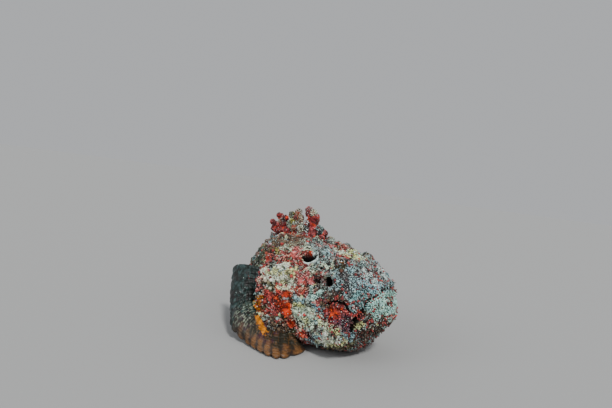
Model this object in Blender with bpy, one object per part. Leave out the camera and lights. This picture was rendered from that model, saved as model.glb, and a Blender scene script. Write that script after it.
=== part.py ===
"""A reef stonefish at life size, resting on its belly with its tail curled to the left.

Metres, +Z up, +X towards the snout and +Y towards the fish's left. The fish is first made straight, in
millimetres, with the snout tip at x = 0 and the floor at z = 0. Everything behind the cheeks is then swept to
the left, and the middle of the footprint becomes the origin.
"""

import math

import bmesh
import bpy
import numpy as np

MM = 0.001
GAP = 0.3  # clearance that touching pieces keep, in mm

# Body
BODY_LENGTH = 280.0  # snout tip to the root of the tail fin
SNOUT_DEPTH = 26.0  # length of the rounded front cap
STUMP_DEPTH = 7.0  # length of the rounded rear end
SNOUT_SKIN = 52.0  # length of skin from the snout tip over the cap
STUMP_SKIN = 12.0
RING_POINTS = 52
CAP_RINGS = 7
HEAD_RING_STEP = 6.2
TRUNK_RING_STEP = 9.4
BODY_SECTIONS = (  # distance back, half width, height of the back, height of the belly
    (0, 45, 87, 15),
    (26, 54, 101, 6),
    (50, 58, 109, 1),
    (80, 62, 115, -3),
    (108, 66, 117, -4),
    (126, 60, 116, -4),
    (142, 46, 113, -4),
    (160, 37, 106, -4),
    (178, 32, 94, -4),
    (210, 26, 72, 2),
    (245, 18, 59, 10),
    (280, 11, 53, 16),
)
MIDDLE_HEIGHTS = ((0, 62), (60, 52), (150, 46), (210, 42), (280, 38))  # widest level of each ring
ROUND_TOP = 2.3  # superellipse exponents of the rings
ROUND_BELLY = 2.4

# Where the body is parted
GILL_CUT = 129.0
STALK_CUT = 222.0
JAW_BACK = 46.0

# Mouth: an arch seen from the front, with a raised lip on each side of it
MOUTH_HALF_WIDTH = 47.0
MOUTH_CORNER_HEIGHT = 40.0
MOUTH_TOP_HEIGHT = 81.0
MOUTH_ROUNDNESS = 2.5
MOUTH_THROAT_WIDTH = 34.0  # half width of the lower jaw under the throat
MOUTH_STEPS = 24
LIP_RADIUS = 3.2
LIP_OFFSET = 3.6  # from the mouth's line to the middle of each lip
LIP_SUNK = 0.5
LIP_TAPER = 0.45  # how much thinner a lip is at the mouth's corners
LIP_SIDES = 5

# Swellings and hollows of the skin: place, reach along each axis, and height. Paired ones have y > 0.
HEAD_FORMS = {
    "eye turret": ((-43, 36, 104), (10, 9, 10), 6.5),
    "brow": ((-66, 34, 112), (17, 9, 8), 6.0),
    "mound behind the brow": ((-97, 46, 104), (11, 9, 8), 4.0),
    "pit behind the eye": ((-79, 47, 99), (10, 8, 6), -9.0),
    "pit below the eye": ((-46, 52, 83), (11, 10, 7), -9.0),
    "saddle between the eyes": ((-48, 0, 110), (17, 17, 22), -6.0),
    "hollow of the nape": ((-84, 0, 116), (10, 20, 14), -4.0),
    "upper lip": ((-2, 0, 84), (12, 26, 8), 4.0),
    "upper cheek": ((-94, 60, 79), (19, 14, 13), 5.0),
    "cheek ridge": ((-62, 60, 60), (26, 14, 8), 4.0),
    "end of the upper jaw": ((-29, 54, 50), (9, 10, 12), 4.5),
    "lump under the corner of the mouth": ((-35, 49, 26), (13, 14, 11), 4.5),
    "fold over the jaw": ((-40, 52, 66), (16, 12, 5), 3.0),
    "gill cover edge": ((-118, 62, 58), (8, 16, 34), 5.5),
    "gill slit": ((-130, 64, 60), (6, 18, 36), -5.0),
    "chin": ((2, 0, 54), (15, 31, 20), 13.0),
    "throat": ((-18, 0, 20), (18, 30, 16), 2.0),
    "bump on the nape": ((-87, 13, 119), (6, 6, 8), 10.5),
    "bump between nape and eye": ((-69, 13, 118), (7, 7, 8), 5.5),
    "bump before the eye": ((-51, 13, 113), (8, 7, 8), 7.5),
    "back behind the head": ((-150, 16, 110), (24, 12, 10), 1.5),
}

# Warts raised in the skin
WART_SEED = 11
WART_COUNT = 210
WART_REACH = (4.5, 8.5)
WART_HEIGHT = (1.4, 3.4)
WART_SIDES = 0.85  # warts cover the ring but for its flat underside

# Knobs and skin flaps that stand on the skin
KNOB_SEED = 5
KNOB_COUNT = 34
KNOB_RADIUS = (2.6, 4.6)
KNOB_SIDES = 6
KNOB_SPAN = (26.0, 242.0)  # knobs stand between these places along the skin
KNOB_SIDE = 0.35  # and reach this far below the widest level, as an angle
KNOB_APART = 12.0
KNOB_ROWS = ((-0.8, 1.15), (0.4, 0.85))  # level and width of each ring of a knob, as shares of its radius
CREST_CLEARANCE = (16.0, 14.0)  # knobs keep this far from the first spine and from the middle of the back
FIN_CLEARANCE = (108.0, 82.0)  # and out of this region behind the cheeks and under this height
CUT_CLEARANCE = 9.0
EYE_CLEARANCE = 17.0
MOUTH_CLEARANCE = (30.0, 12.0)

# Eyes and nostrils
EYE_SKIN_PLACE = (-43, 36, 104)
EYE_RADIUS = 6.0
EYE_SUNK = 2.6
LID_RADIUS = 1.7
LID_RING = 6.7
LID_RISE = 1.6  # from the eyeball's centre outwards
NOSTRIL_PLACES = ((-13, 22, 94), (-24, 28, 99))
NOSTRIL_RADIUS = 2.4
NOSTRIL_HOLE = 1.3

# Fins
SPINES = (  # distance back, height over the back, radius, lean in degrees and lumps of each spine in its sheath
    (93, 17, 6.6, 2, 1),
    (103, 34, 8.0, 8, 2),
    (113, 18, 5.8, 10, 1),
    (122, 30, 7.0, 14, 2),
    (132, 26, 7.0, 10, 1),
    (141, 18, 5.8, 12, 1),
    (149, 24, 6.4, 16, 1),
    (157, 30, 7.4, 24, 2),
    (166, 31, 7.0, 50, 2),
    (175, 19, 5.6, 58, 0),
    (185, 17, 5.0, 60, 0),
    (196, 14, 4.6, 62, 0),
    (206, 12, 4.2, 64, 0),
)
SPINE_SWAY = (-6.0, 6.0)  # degrees to either side
SPINE_CURL = 0.12  # how far a spine's tip curls back, as a share of its height
CREST_SEED = 3
RIDGE_STEPS = 26  # the low ridge of flesh that the spines stand on
RIDGE_HIGH = (5.3, 7.7)
RIDGE_WIDE = (4.4, 6.0)
POST_PINCH = 0.35  # how much narrower a sheath is half way up
POST_UNEVEN = 0.22
POST_RIPPLE = 0.16
POST_TIP = 0.75
POST_FLAT = 0.85
LUMP_SHARE = (0.5, 0.7)  # radius of a lump, as a share of its sheath's
LUMP_ASIDE = 0.62
RAY_ROOT_DEPTH = 8.0

# Tail sweep
SWEEP_START = 95.0
SWEEP_END = 240.0
SWEEP_ANGLE = math.radians(52.0)
SHOULDER = 125.0  # distance back of the place that carries the fin inside the bend

COLOURS = {  # colour, roughness
    "skin": ((0.52, 0.40, 0.36), 0.75),
    "jaw": ((0.60, 0.55, 0.45), 0.75),
    "fin": ((0.46, 0.28, 0.16), 0.7),
    "crest": ((0.66, 0.25, 0.21), 0.75),
    "eye": ((0.20, 0.17, 0.19), 0.15),
}


def through(stations, at):
    """Smooth values at the given places, through stations of (place, value)."""
    places, values = np.array(stations, float).T
    slopes = np.gradient(values, places)
    at = np.clip(at, places[0], places[-1])
    left = np.clip(np.searchsorted(places, at, side="right") - 1, 0, len(places) - 2)
    width = places[left + 1] - places[left]
    share = (at - places[left]) / width
    square, cube = share**2, share**3
    return (
        (2 * cube - 3 * square + 1) * values[left]
        + (cube - 2 * square + share) * width * slopes[left]
        + (3 * square - 2 * cube) * values[left + 1]
        + (cube - square) * width * slopes[left + 1]
    )


def section(column, back):
    """One column of the body sections, at each distance back from the snout."""
    return through([(row[0], row[column]) for row in BODY_SECTIONS], back)


def ring_at(skin):
    """Distance back and openness of the ring that lies this far along the skin from the snout tip."""
    straight_end = SNOUT_SKIN + BODY_LENGTH - SNOUT_DEPTH
    front = np.clip(skin / SNOUT_SKIN, 0, 1) * math.pi / 2
    rear = np.clip((skin - straight_end) / STUMP_SKIN, 0, 1) * math.pi / 2
    straight = np.clip(skin - SNOUT_SKIN, 0, BODY_LENGTH - SNOUT_DEPTH)
    back = SNOUT_DEPTH * (1 - np.cos(front)) + straight + STUMP_DEPTH * np.sin(rear)
    return back, np.sin(front) * np.cos(rear)


def smooth_body(skin, angle):
    """Points of the body without its forms. Angle 0 is the left side and a quarter turn is the back."""
    back, openness = ring_at(skin)
    middle = through(MIDDLE_HEIGHTS, back)
    up = (section(2, back) - middle) * openness
    down = (middle - section(3, back)) * openness
    across, rise = np.cos(angle), np.sin(angle)
    power = 2 / np.where(rise >= 0, ROUND_TOP, ROUND_BELLY)
    y = section(1, back) * openness * np.sign(across) * np.abs(across) ** power
    z = middle + np.where(rise >= 0, up, down) * np.sign(rise) * np.abs(rise) ** power
    return np.stack([-back, y, z], axis=-1)


def outward(skin, angle):
    """Unit normals of the smooth body."""
    step = 0.4
    skin = np.clip(skin, 2 * step, SNOUT_SKIN + BODY_LENGTH - SNOUT_DEPTH + STUMP_SKIN - 2 * step)
    along = smooth_body(skin + step, angle) - smooth_body(skin - step, angle)
    turn = step / 40
    around = smooth_body(skin, angle + turn) - smooth_body(skin, angle - turn)
    normal = np.cross(along, around)
    return normal / np.linalg.norm(normal, axis=-1, keepdims=True)


def bump(points, centre, reach):
    """A bell of height 1 round the centre."""
    away = (points - np.array(centre, float)) / np.array(reach, float)
    return np.exp(-(away**2).sum(-1))


def wart_places():
    """Centres, reaches and heights of the warts, spread over the smooth body by area."""
    draw = np.random.default_rng(WART_SEED)
    skin = draw.uniform(20, SNOUT_SKIN + BODY_LENGTH - SNOUT_DEPTH, 6 * WART_COUNT)
    turn = draw.uniform(-WART_SIDES, math.pi + WART_SIDES, len(skin))
    girth = section(1, ring_at(skin)[0])
    kept = draw.random(len(skin)) < girth / girth.max()
    centres = smooth_body(skin[kept], turn[kept])[:WART_COUNT]
    reaches = draw.uniform(*WART_REACH, len(centres))
    heights = draw.uniform(*WART_HEIGHT, len(centres))
    return centres, reaches, heights


def relief(points):
    """How far the forms and the warts raise the skin at these points of the smooth body."""
    height = np.zeros(points.shape[:-1])
    for centre, reach, size in HEAD_FORMS.values():
        sides = (1, -1) if centre[1] else (1,)
        for side in sides:
            height += size * bump(points, (centre[0], side * centre[1], centre[2]), reach)
    for centre, reach, size in zip(*WARTS):
        height += size * bump(points, centre, (reach,) * 3)
    return height


def skin_points(skin, angle, grown=0.0):
    """Points of the finished skin, grown outwards by the given amount, and never under the floor."""
    smooth = smooth_body(skin, angle)
    raised = smooth + outward(skin, angle) * (relief(smooth) + grown)[..., None]
    raised[..., 2] = np.maximum(raised[..., 2], -grown)
    return raised


def skin_grid(end):
    """Skin places and angles of a fine grid, from the snout tip to a place along the skin."""
    rows = np.linspace(1, end, round(end / 2))
    turns = np.linspace(-math.pi, math.pi, 241)[:-1]
    return np.meshgrid(rows, turns, indexing="ij")


def nearest_on_skin(place):
    """The skin place and angle whose smooth point is nearest to a point."""
    skin, angle = skin_grid(SNOUT_SKIN + BODY_LENGTH - SNOUT_DEPTH)
    far = np.linalg.norm(smooth_body(skin, angle) - np.array(place, float), axis=-1)
    nearest = np.unravel_index(far.argmin(), far.shape)
    return skin[nearest], angle[nearest]


def sweep_line():
    """The line that the fish's middle follows in plan: distances back, headings and places."""
    run = np.linspace(0, BODY_LENGTH + 90, 371)
    share = np.clip((run - SWEEP_START) / (SWEEP_END - SWEEP_START), 0, 1)
    heading = SWEEP_ANGLE * share**2 * (3 - 2 * share)
    step = run[1] - run[0]
    line_x = -np.concatenate([[0], np.cumsum(np.cos(heading[1:]) * step)])
    line_y = np.concatenate([[0], np.cumsum(np.sin(heading[1:]) * step)])
    return run, heading, line_x, line_y


def swept(points):
    """The tail bent to the left: each place behind the cheeks follows a curve in plan."""
    run, heading, line_x, line_y = sweep_line()
    back = np.maximum(-points[:, 0], 0)
    turn = np.interp(back, run, heading)
    bent = points.copy()
    bent[:, 0] = np.interp(back, run, line_x) + points[:, 1] * np.sin(turn) + np.maximum(points[:, 0], 0)
    bent[:, 1] = np.interp(back, run, line_y) + points[:, 1] * np.cos(turn)
    return bent


def turned(points):
    """Points carried stiffly by the shoulder, for the fin inside the bend, which the sweep would squeeze."""
    run, heading, line_x, line_y = sweep_line()
    turn = np.interp(SHOULDER, run, heading)
    ahead, aside = points[:, 0] + SHOULDER, points[:, 1]
    moved = points.copy()
    moved[:, 0] = np.interp(SHOULDER, run, line_x) + ahead * np.cos(turn) + aside * np.sin(turn)
    moved[:, 1] = np.interp(SHOULDER, run, line_y) - ahead * np.sin(turn) + aside * np.cos(turn)
    return moved


def move(piece, how):
    """Moves each point of a mesh, in millimetres, by a function."""
    points = np.array([vert.co for vert in piece.data.vertices]) / MM
    for vert, point in zip(piece.data.vertices, how(points)):
        vert.co = point * MM
    return piece


def material(slot):
    colour, roughness = COLOURS[slot]
    made = bpy.data.materials.get(slot) or bpy.data.materials.new(slot)
    made.use_nodes = True
    shader = made.node_tree.nodes["Principled BSDF"]
    shader.inputs["Base Color"].default_value = (*colour, 1)
    shader.inputs["Roughness"].default_value = roughness
    return made


def object_of(name, points, faces):
    """A mesh object, from points in millimetres and faces, with its normals facing out."""
    mesh = bpy.data.meshes.new(name)
    mesh.from_pydata([tuple(point) for point in np.asarray(points, float) * MM], [], faces)
    shape = bmesh.new()
    shape.from_mesh(mesh)
    bmesh.ops.recalc_face_normals(shape, faces=shape.faces)
    shape.to_mesh(mesh)
    shape.free()
    made = bpy.data.objects.new(name, mesh)
    bpy.context.scene.collection.objects.link(made)
    return made


def tube_faces(rings, around):
    """Triangles between rings of points, with a point closing each end. The two end points come last."""
    faces = []
    for ring in range(rings - 1):
        for step in range(around):
            after = (step + 1) % around
            low, high = ring * around, (ring + 1) * around
            faces.append((low + step, low + after, high + after))
            faces.append((low + step, high + after, high + step))
    first, last = rings * around, rings * around + 1
    for step in range(around):
        after = (step + 1) % around
        faces.append((first, after, step))
        faces.append((last, (rings - 1) * around + step, (rings - 1) * around + after))
    return faces


def body_solid(name, grown=0.0):
    """The whole body as one closed mesh."""
    cap = np.linspace(0, SNOUT_SKIN, CAP_RINGS + 1)[1:]
    gills = SNOUT_SKIN + GILL_CUT - SNOUT_DEPTH
    end = SNOUT_SKIN + BODY_LENGTH - SNOUT_DEPTH
    head = np.arange(SNOUT_SKIN + HEAD_RING_STEP, gills, HEAD_RING_STEP)
    trunk = np.linspace(gills, end, round((end - gills) / TRUNK_RING_STEP))
    stump = end + STUMP_SKIN * np.array([0.45, 0.8])
    rows = np.concatenate([cap, head, trunk, stump])
    turns = np.linspace(0, 2 * math.pi, RING_POINTS + 1)[:-1]
    turns = np.where(turns > math.pi, turns - 2 * math.pi, turns)
    skin, angle = np.meshgrid(rows, turns, indexing="ij")
    points = skin_points(skin, angle, grown).reshape(-1, 3)
    tips = np.array([0.01, end + STUMP_SKIN - 0.01])
    points = np.concatenate([points, skin_points(tips, np.zeros(2), grown)])
    return object_of(name, points, tube_faces(len(rows), RING_POINTS))


def block(name, low, high):
    """A box between two corners, in millimetres."""
    corners = [(x, y, z) for x in (low[0], high[0]) for y in (low[1], high[1]) for z in (low[2], high[2])]
    faces = [(0, 1, 3, 2), (4, 6, 7, 5), (0, 4, 5, 1), (2, 3, 7, 6), (0, 2, 6, 4), (1, 5, 7, 3)]
    return object_of(name, corners, faces)


def mouth_arch(grown=0.0):
    """The mouth's line seen from the front, from the right corner over the top to the left one."""
    steps = np.linspace(-1, 1, MOUTH_STEPS + 1)
    wide = MOUTH_HALF_WIDTH + grown
    y = wide * np.sign(steps) * (1 - (1 - np.abs(steps)) ** 1.6)
    rise = (1 - (np.abs(y) / wide) ** MOUTH_ROUNDNESS) ** (1 / MOUTH_ROUNDNESS)
    return y, MOUTH_CORNER_HEIGHT + (MOUTH_TOP_HEIGHT - MOUTH_CORNER_HEIGHT) * rise + grown


def lip(name, offset):
    """A raised lip along the mouth, this far outside its line. It thins towards the corners of the mouth."""
    skin, angle = skin_grid(SNOUT_SKIN + 30)
    front = skin_points(skin, angle).reshape(-1, 3)
    facing = outward(skin, angle).reshape(-1, 3)
    y, z = mouth_arch(offset)
    nearest = [np.hypot(front[:, 1] - a, front[:, 2] - b).argmin() for a, b in zip(y, z)]
    middle = front[nearest] - facing[nearest] * LIP_SUNK
    middle = np.concatenate([middle[:1], (middle[:-2] + 2 * middle[1:-1] + middle[2:]) / 4, middle[-1:]])
    ahead = np.gradient(middle, axis=0)
    ahead /= np.linalg.norm(ahead, axis=1, keepdims=True)
    side = np.cross(ahead, facing[nearest])
    up = np.cross(side, ahead)
    turn = np.linspace(0, 2 * math.pi, LIP_SIDES + 1)[:-1]
    wide = LIP_RADIUS * (1 - LIP_TAPER * np.linspace(-1, 1, len(middle)) ** 4)[:, None, None]
    ring = side[:, None] * np.cos(turn)[:, None] + up[:, None] * np.sin(turn)[:, None]
    points = (middle[:, None] + wide * ring).reshape(-1, 3)
    ends = np.stack([middle[0] - ahead[0], middle[-1] + ahead[-1]])
    return object_of(name, np.concatenate([points, ends]), tube_faces(len(middle), LIP_SIDES))


def jaw_block(name, grown=0.0):
    """The arch that parts the lower jaw, run back to the throat."""
    y, z = mouth_arch(grown)
    low = MOUTH_THROAT_WIDTH + grown
    y = np.concatenate([[-low], y, [low]])
    z = np.concatenate([[-30], z, [-30]])
    ends = (60.0, -JAW_BACK - grown)
    points = np.concatenate([np.stack([np.full(len(y), x), y, z], axis=-1) for x in ends])
    count = len(y)
    faces = [tuple(range(count)), tuple(range(2 * count - 1, count - 1, -1))]
    for step in range(count):
        after = (step + 1) % count
        faces.append((step, after, count + after, count + step))
    return object_of(name, points, faces)


def ball(name, centre, radius, rings=8, around=14):
    """A sphere with its poles on the Y axis, in millimetres."""
    tilt = np.linspace(0, math.pi, rings + 1)[1:-1]
    turn = np.linspace(0, 2 * math.pi, around + 1)[:-1]
    tilt, turn = np.meshgrid(tilt, turn, indexing="ij")
    unit = np.stack([np.sin(tilt) * np.cos(turn), np.cos(tilt), np.sin(tilt) * np.sin(turn)], axis=-1)
    unit = np.concatenate([unit.reshape(-1, 3), [[0, 1, 0], [0, -1, 0]]])
    return object_of(name, np.array(centre) + radius * unit, tube_faces(rings - 1, around))


def combine(target, others, operation, solver="EXACT"):
    """Applies one Boolean with several objects, which are then removed."""
    group = bpy.data.collections.new("cutters")
    for other in others:
        group.objects.link(other)
    modifier = target.modifiers.new("combine", "BOOLEAN")
    modifier.operation = operation
    modifier.operand_type = "COLLECTION"
    modifier.collection = group
    modifier.solver = solver
    bpy.context.view_layer.update()
    graph = bpy.context.evaluated_depsgraph_get()
    mesh = bpy.data.meshes.new_from_object(target.evaluated_get(graph))
    target.modifiers.clear()
    target.data = mesh
    for other in others:
        bpy.data.objects.remove(other)
    bpy.data.collections.remove(group)
    return target


def keep_largest(target):
    """Drops every closed surface but the largest, and leaves triangles."""
    shape = bmesh.new()
    shape.from_mesh(target.data)
    bmesh.ops.triangulate(shape, faces=shape.faces)
    left, groups = set(shape.verts), []
    while left:
        group, front = set(), [left.pop()]
        while front:
            vert = front.pop()
            group.add(vert)
            for edge in vert.link_edges:
                other = edge.other_vert(vert)
                if other in left:
                    left.remove(other)
                    front.append(other)
        groups.append(group)
    largest = max(groups, key=len)
    bmesh.ops.delete(shape, geom=[v for v in shape.verts if v not in largest], context="VERTS")
    shape.to_mesh(target.data)
    shape.free()
    return target


def copy_of(source, name):
    made = source.copy()
    made.data = source.data.copy()
    made.name = name
    bpy.context.scene.collection.objects.link(made)
    return made


def fan(name, root, middle, tip, rays, rows, thick, web, scallop=0.07):
    """A fin of rays between a root and a tip line. Each line gives points for shares of the fin's width.

    Odd columns are rays, which stand out as ridges on both faces. Even columns are the web between them.
    thick is the fin's thickness at root and tip, and web is the share of it that the web has.
    """
    share = np.linspace(0, 1, 2 * rays + 1)
    is_ray = np.arange(len(share)) % 2 == 1
    reach = np.where(is_ray, 1.0, 1.0 - scallop)
    along = np.linspace(0, 1, rows + 1)
    step = 1e-3

    def place(u, v):
        a, b, c = root(u), middle(u), tip(u)
        v = v[..., None]
        return (1 - v) ** 2 * a + 2 * v * (1 - v) * b + v**2 * c

    v, u = np.meshgrid(along, share, indexing="ij")
    v = v * reach
    points = place(u, v)
    low, high = np.clip(u - step, 0, 1), np.clip(u + step, 0, 1)
    normal = np.cross(place(high, v) - place(low, v), place(u, v + step) - place(u, v - step))
    normal /= np.linalg.norm(normal, axis=-1, keepdims=True)
    depth = thick[0] + (thick[1] - thick[0]) * v**0.8
    depth = depth * np.where(is_ray, 1.0, web)
    front = points + normal * depth[..., None] / 2
    behind = points - normal * depth[..., None] / 2
    under = np.maximum(-np.minimum(front[..., 2], behind[..., 2]), 0)
    front[..., 2] += under
    behind[..., 2] += under
    wide = len(share)
    count = wide * (rows + 1)
    faces = []
    for row in range(rows):
        for column in range(wide - 1):
            a = row * wide + column
            b, c, d = a + 1, a + wide + 1, a + wide
            faces += [(a, b, c), (a, c, d)]
            faces += [(count + a, count + c, count + b), (count + a, count + d, count + c)]
    edge = list(range(wide)) + [row * wide + wide - 1 for row in range(1, rows + 1)]
    edge += list(range(count - 2, count - wide - 1, -1)) + [row * wide for row in range(rows - 1, 0, -1)]
    for here, after in zip(edge, edge[1:] + edge[:1]):
        faces += [(after, here, count + here), (after, count + here, count + after)]
    return object_of(name, np.concatenate([front.reshape(-1, 3), behind.reshape(-1, 3)]), faces)


def line(*stations):
    """A smooth line through points at shares of its length, as a function of the share."""
    shares = [station[0] for station in stations]

    def place(u):
        return np.stack(
            [through(list(zip(shares, [s[1][axis] for s in stations])), u) for axis in range(3)], axis=-1
        )

    return place


def skin_line(*stations, sunk=RAY_ROOT_DEPTH):
    """A line just under the skin, through distances back and angles in degrees at shares of its length."""

    def place(u):
        back = through([(s[0], s[1]) for s in stations], u)
        angle = np.radians(through([(s[0], s[2]) for s in stations], u))
        skin = back - SNOUT_DEPTH + SNOUT_SKIN
        return smooth_body(skin, angle) - outward(skin, angle) * sunk

    return place


def pectoral_fin(side):
    """The large fan behind the gill cover. Its lower rays reach forward and rest on the floor."""
    name = "left_pectoral_fin" if side > 0 else "right_pectoral_fin"
    root = skin_line((0, 136, 22), (0.35, 134, -4), (0.7, 116, -26), (1, 86, -38))
    middle = line(
        (0, (-152, 68, 80)),
        (0.25, (-141, 82, 59)),
        (0.5, (-128, 94, 34)),
        (0.75, (-96, 90, 15)),
        (1, (-68, 56, 10)),
    )
    tip = line(
        (0, (-167, 58, 64)),
        (0.12, (-156, 66, 49)),
        (0.25, (-141, 79, 35)),
        (0.38, (-130, 88, 21)),
        (0.5, (-125, 90, 9)),
        (0.6, (-112, 87, 2)),
        (0.7, (-97, 89, 1.6)),
        (0.8, (-81, 91, 1.6)),
        (0.88, (-69, 86, 1.6)),
        (0.95, (-64, 69, 1.6)),
        (1, (-62, 48, 1.6)),
    )
    made = fan(name, root, middle, tip, rays=17, rows=6, thick=(7.0, 2.6), web=0.5)
    if side < 0:
        flip_sideways(made)
    return made


def flip_sideways(target):
    """Mirrors a mesh across the fish's middle plane."""
    for vert in target.data.vertices:
        vert.co.y = -vert.co.y
    target.data.flip_normals()


def pelvic_fin(side):
    """The short fan under the belly, laid out on the floor."""
    name = "left_pelvic_fin" if side > 0 else "right_pelvic_fin"
    root = skin_line((0, 96, -68), (1, 138, -64), sunk=5.0)
    middle = line((0, (-102, 48, 5)), (1, (-150, 42, 5)))
    tip = line((0, (-116, 56, 2.0)), (0.5, (-142, 56, 2.0)), (1, (-166, 46, 2.0)))
    made = fan(name, root, middle, tip, rays=6, rows=4, thick=(4.0, 2.2), web=0.6)
    if side < 0:
        flip_sideways(made)
    return made


def tail_fin():
    root = line((0, (-274, 0, 50)), (1, (-274, 0, 25)))
    middle = line((0, (-306, 0, 68)), (0.5, (-310, 0, 38)), (1, (-306, 0, 10)))
    tip = line((0, (-327, 0, 72)), (0.25, (-338, 0, 57)), (0.5, (-341, 0, 38)), (0.75, (-338, 0, 20)), (1, (-327, 0, 5)))
    return fan("tail_fin", root, middle, tip, rays=13, rows=6, thick=(6.0, 2.0), web=0.5)


def soft_dorsal_fin():
    root = line((0, (-224, 0, 66)), (1, (-260, 0, 50)))
    middle = line((0, (-230, 0, 96)), (0.5, (-250, 0, 92)), (1, (-272, 0, 64)))
    tip = line((0, (-242, 0, 102)), (0.5, (-268, 0, 97)), (1, (-287, 0, 74)))
    return fan("soft_dorsal_fin", root, middle, tip, rays=7, rows=5, thick=(6.0, 2.0), web=0.5)


def anal_fin():
    root = line((0, (-206, 0, 16)), (1, (-250, 0, 26)))
    middle = line((0, (-218, 4, 3)), (1, (-262, 4, 12)))
    tip = line((0, (-230, 10, 2.0)), (0.5, (-256, 12, 2.0)), (1, (-276, 10, 6)))
    return fan("anal_fin", root, middle, tip, rays=8, rows=4, thick=(5.0, 2.0), web=0.55)


def lumpy_post(name, foot, lean, height, radius, lump_count, draw, sides=6, rings=5):
    """A fleshy post with uneven swellings and a knobbed tip, and the places of lumps on it."""
    share = np.linspace(0, 1, rings)
    turn = np.linspace(0, 2 * math.pi, sides + 1)[:-1]
    waist = 1.0 - POST_PINCH * np.sin(share * math.pi) + POST_UNEVEN * draw.uniform(-1, 1, rings)
    waist[-1] *= POST_TIP
    centre = np.array(foot) + np.outer(share * height, lean)
    centre[:, 0] -= SPINE_CURL * height * share**2
    ripple = 1 + POST_RIPPLE * draw.uniform(-1, 1, (rings, sides))
    wide = radius * waist[:, None] * ripple
    points = np.stack(
        [
            centre[:, :1] + wide * np.cos(turn),
            centre[:, 1:2] + wide * POST_FLAT * np.sin(turn),
            centre[:, 2:] + 0 * wide,
        ],
        axis=-1,
    ).reshape(-1, 3)
    ends = np.stack([centre[0] - (0, 0, 0.5), centre[-1] + (0, 0, 0.45 * radius)])
    lumps = []
    for number in range(lump_count):
        ring = rings - 1 - number
        side = draw.uniform(0, 2 * math.pi)
        size = radius * draw.uniform(*LUMP_SHARE)
        aside = np.array([math.cos(side), 0.7 * math.sin(side), 0])
        lumps.append((centre[ring] + LUMP_ASIDE * radius * aside, size))
    return object_of(name, np.concatenate([points, ends]), tube_faces(rings, sides)), lumps


def crown_heights(back):
    """Heights of the finished skin along the middle of the back."""
    skin = np.asarray(back, float) - SNOUT_DEPTH + SNOUT_SKIN
    return skin_points(skin, np.full(len(skin), math.pi / 2))[:, 2]


def spiny_dorsal_fin():
    """Thirteen spines in thick, lumpy sheaths on a low ridge of flesh."""
    draw = np.random.default_rng(CREST_SEED)
    run = np.linspace(SPINES[0][0] - 5, SPINES[-1][0] + 5, RIDGE_STEPS)
    turn = np.linspace(0, 2 * math.pi, 7)[:-1]
    crown = crown_heights(run)
    high = draw.uniform(*RIDGE_HIGH, len(run))
    wide = draw.uniform(*RIDGE_WIDE, len(run))
    points = np.stack(
        [
            -run[:, None] + 0 * turn,
            wide[:, None] * np.cos(turn),
            crown[:, None] + high[:, None] * np.sin(turn),
        ],
        axis=-1,
    ).reshape(-1, 3)
    ends = np.stack([(-run[0] + 2, 0, crown[0]), (-run[-1] - 2, 0, crown[-1])])
    ridge = object_of("spiny_dorsal_fin", np.concatenate([points, ends]), tube_faces(len(run), 6))
    posts = []
    for number, (back, height, radius, tilt, lump_count) in enumerate(SPINES):
        tilt = math.radians(tilt)
        sway = math.radians(draw.uniform(*SPINE_SWAY))
        lean = np.array([-math.sin(tilt), math.sin(sway), math.cos(tilt)])
        foot = (-back, 0, crown_heights([back])[0] - 1.0)
        post, lumps = lumpy_post(f"post_{number}", foot, lean, height, radius, lump_count, draw)
        posts.append(post)
        posts += [ball(f"lump_{number}_{n}", *lump, rings=4, around=6) for n, lump in enumerate(lumps)]
    return keep_largest(combine(ridge, posts, "UNION", "MANIFOLD"))


def knob_places():
    """Feet and directions of the knobs on head and back, clear of the fins, eyes and mouth."""
    draw = np.random.default_rng(KNOB_SEED)
    found = []
    while len(found) < KNOB_COUNT:
        skin = draw.uniform(*KNOB_SPAN)
        angle = draw.uniform(-KNOB_SIDE, math.pi + KNOB_SIDE)
        radius = draw.uniform(*KNOB_RADIUS)
        foot = skin_points(np.array([skin]), np.array([angle]))[0]
        back = -foot[0]
        near_crest = back > SPINES[0][0] - CREST_CLEARANCE[0] and abs(foot[1]) < CREST_CLEARANCE[1]
        near_fin = back > FIN_CLEARANCE[0] and foot[2] < FIN_CLEARANCE[1]
        near_cut = min(abs(back - GILL_CUT), abs(back - STALK_CUT)) < CUT_CLEARANCE
        near_eye = np.linalg.norm(np.abs(foot) - np.abs(EYE_SKIN_PLACE)) < EYE_CLEARANCE
        near_mouth = back < MOUTH_CLEARANCE[0] and foot[2] < MOUTH_TOP_HEIGHT + MOUTH_CLEARANCE[1]
        crowded = any(np.linalg.norm(foot - other[0]) < KNOB_APART for other in found)
        if near_crest or near_fin or near_cut or near_eye or near_mouth or crowded:
            continue
        found.append((foot, outward(np.array([skin]), np.array([angle]))[0], radius))
    return found


def across(lean):
    """Two directions square to a direction and to each other."""
    side = np.cross(lean, (0.3, 0.2, 0.93))
    side /= np.linalg.norm(side)
    return side, np.cross(side, lean)


def knob(name, foot, lean, radius):
    """A wart that stands on a short neck, with its root sunk in the skin."""
    side, front = across(lean)
    turn = np.linspace(0, 2 * math.pi, KNOB_SIDES + 1)[:-1]
    points = [
        foot + lean * level * radius + wide * radius * (math.cos(t) * side + math.sin(t) * front)
        for level, wide in KNOB_ROWS
        for t in turn
    ]
    points += [foot - lean * 1.3 * radius, foot + lean * 0.9 * radius]
    return object_of(name, np.array(points), tube_faces(len(KNOB_ROWS), KNOB_SIDES))


def skin_spot(place, side):
    """The point of the finished skin nearest to a place, on the side asked for, and its normal."""
    skin, angle = nearest_on_skin((place[0], side * place[1], place[2]))
    skin, angle = np.array([skin]), np.array([angle])
    return skin_points(skin, angle)[0], outward(skin, angle)[0]


def eye_centre(side):
    """The eyeball's centre, a little under the top of its turret."""
    spot, lean = skin_spot(EYE_SKIN_PLACE, side)
    return spot - lean * EYE_SUNK


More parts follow.
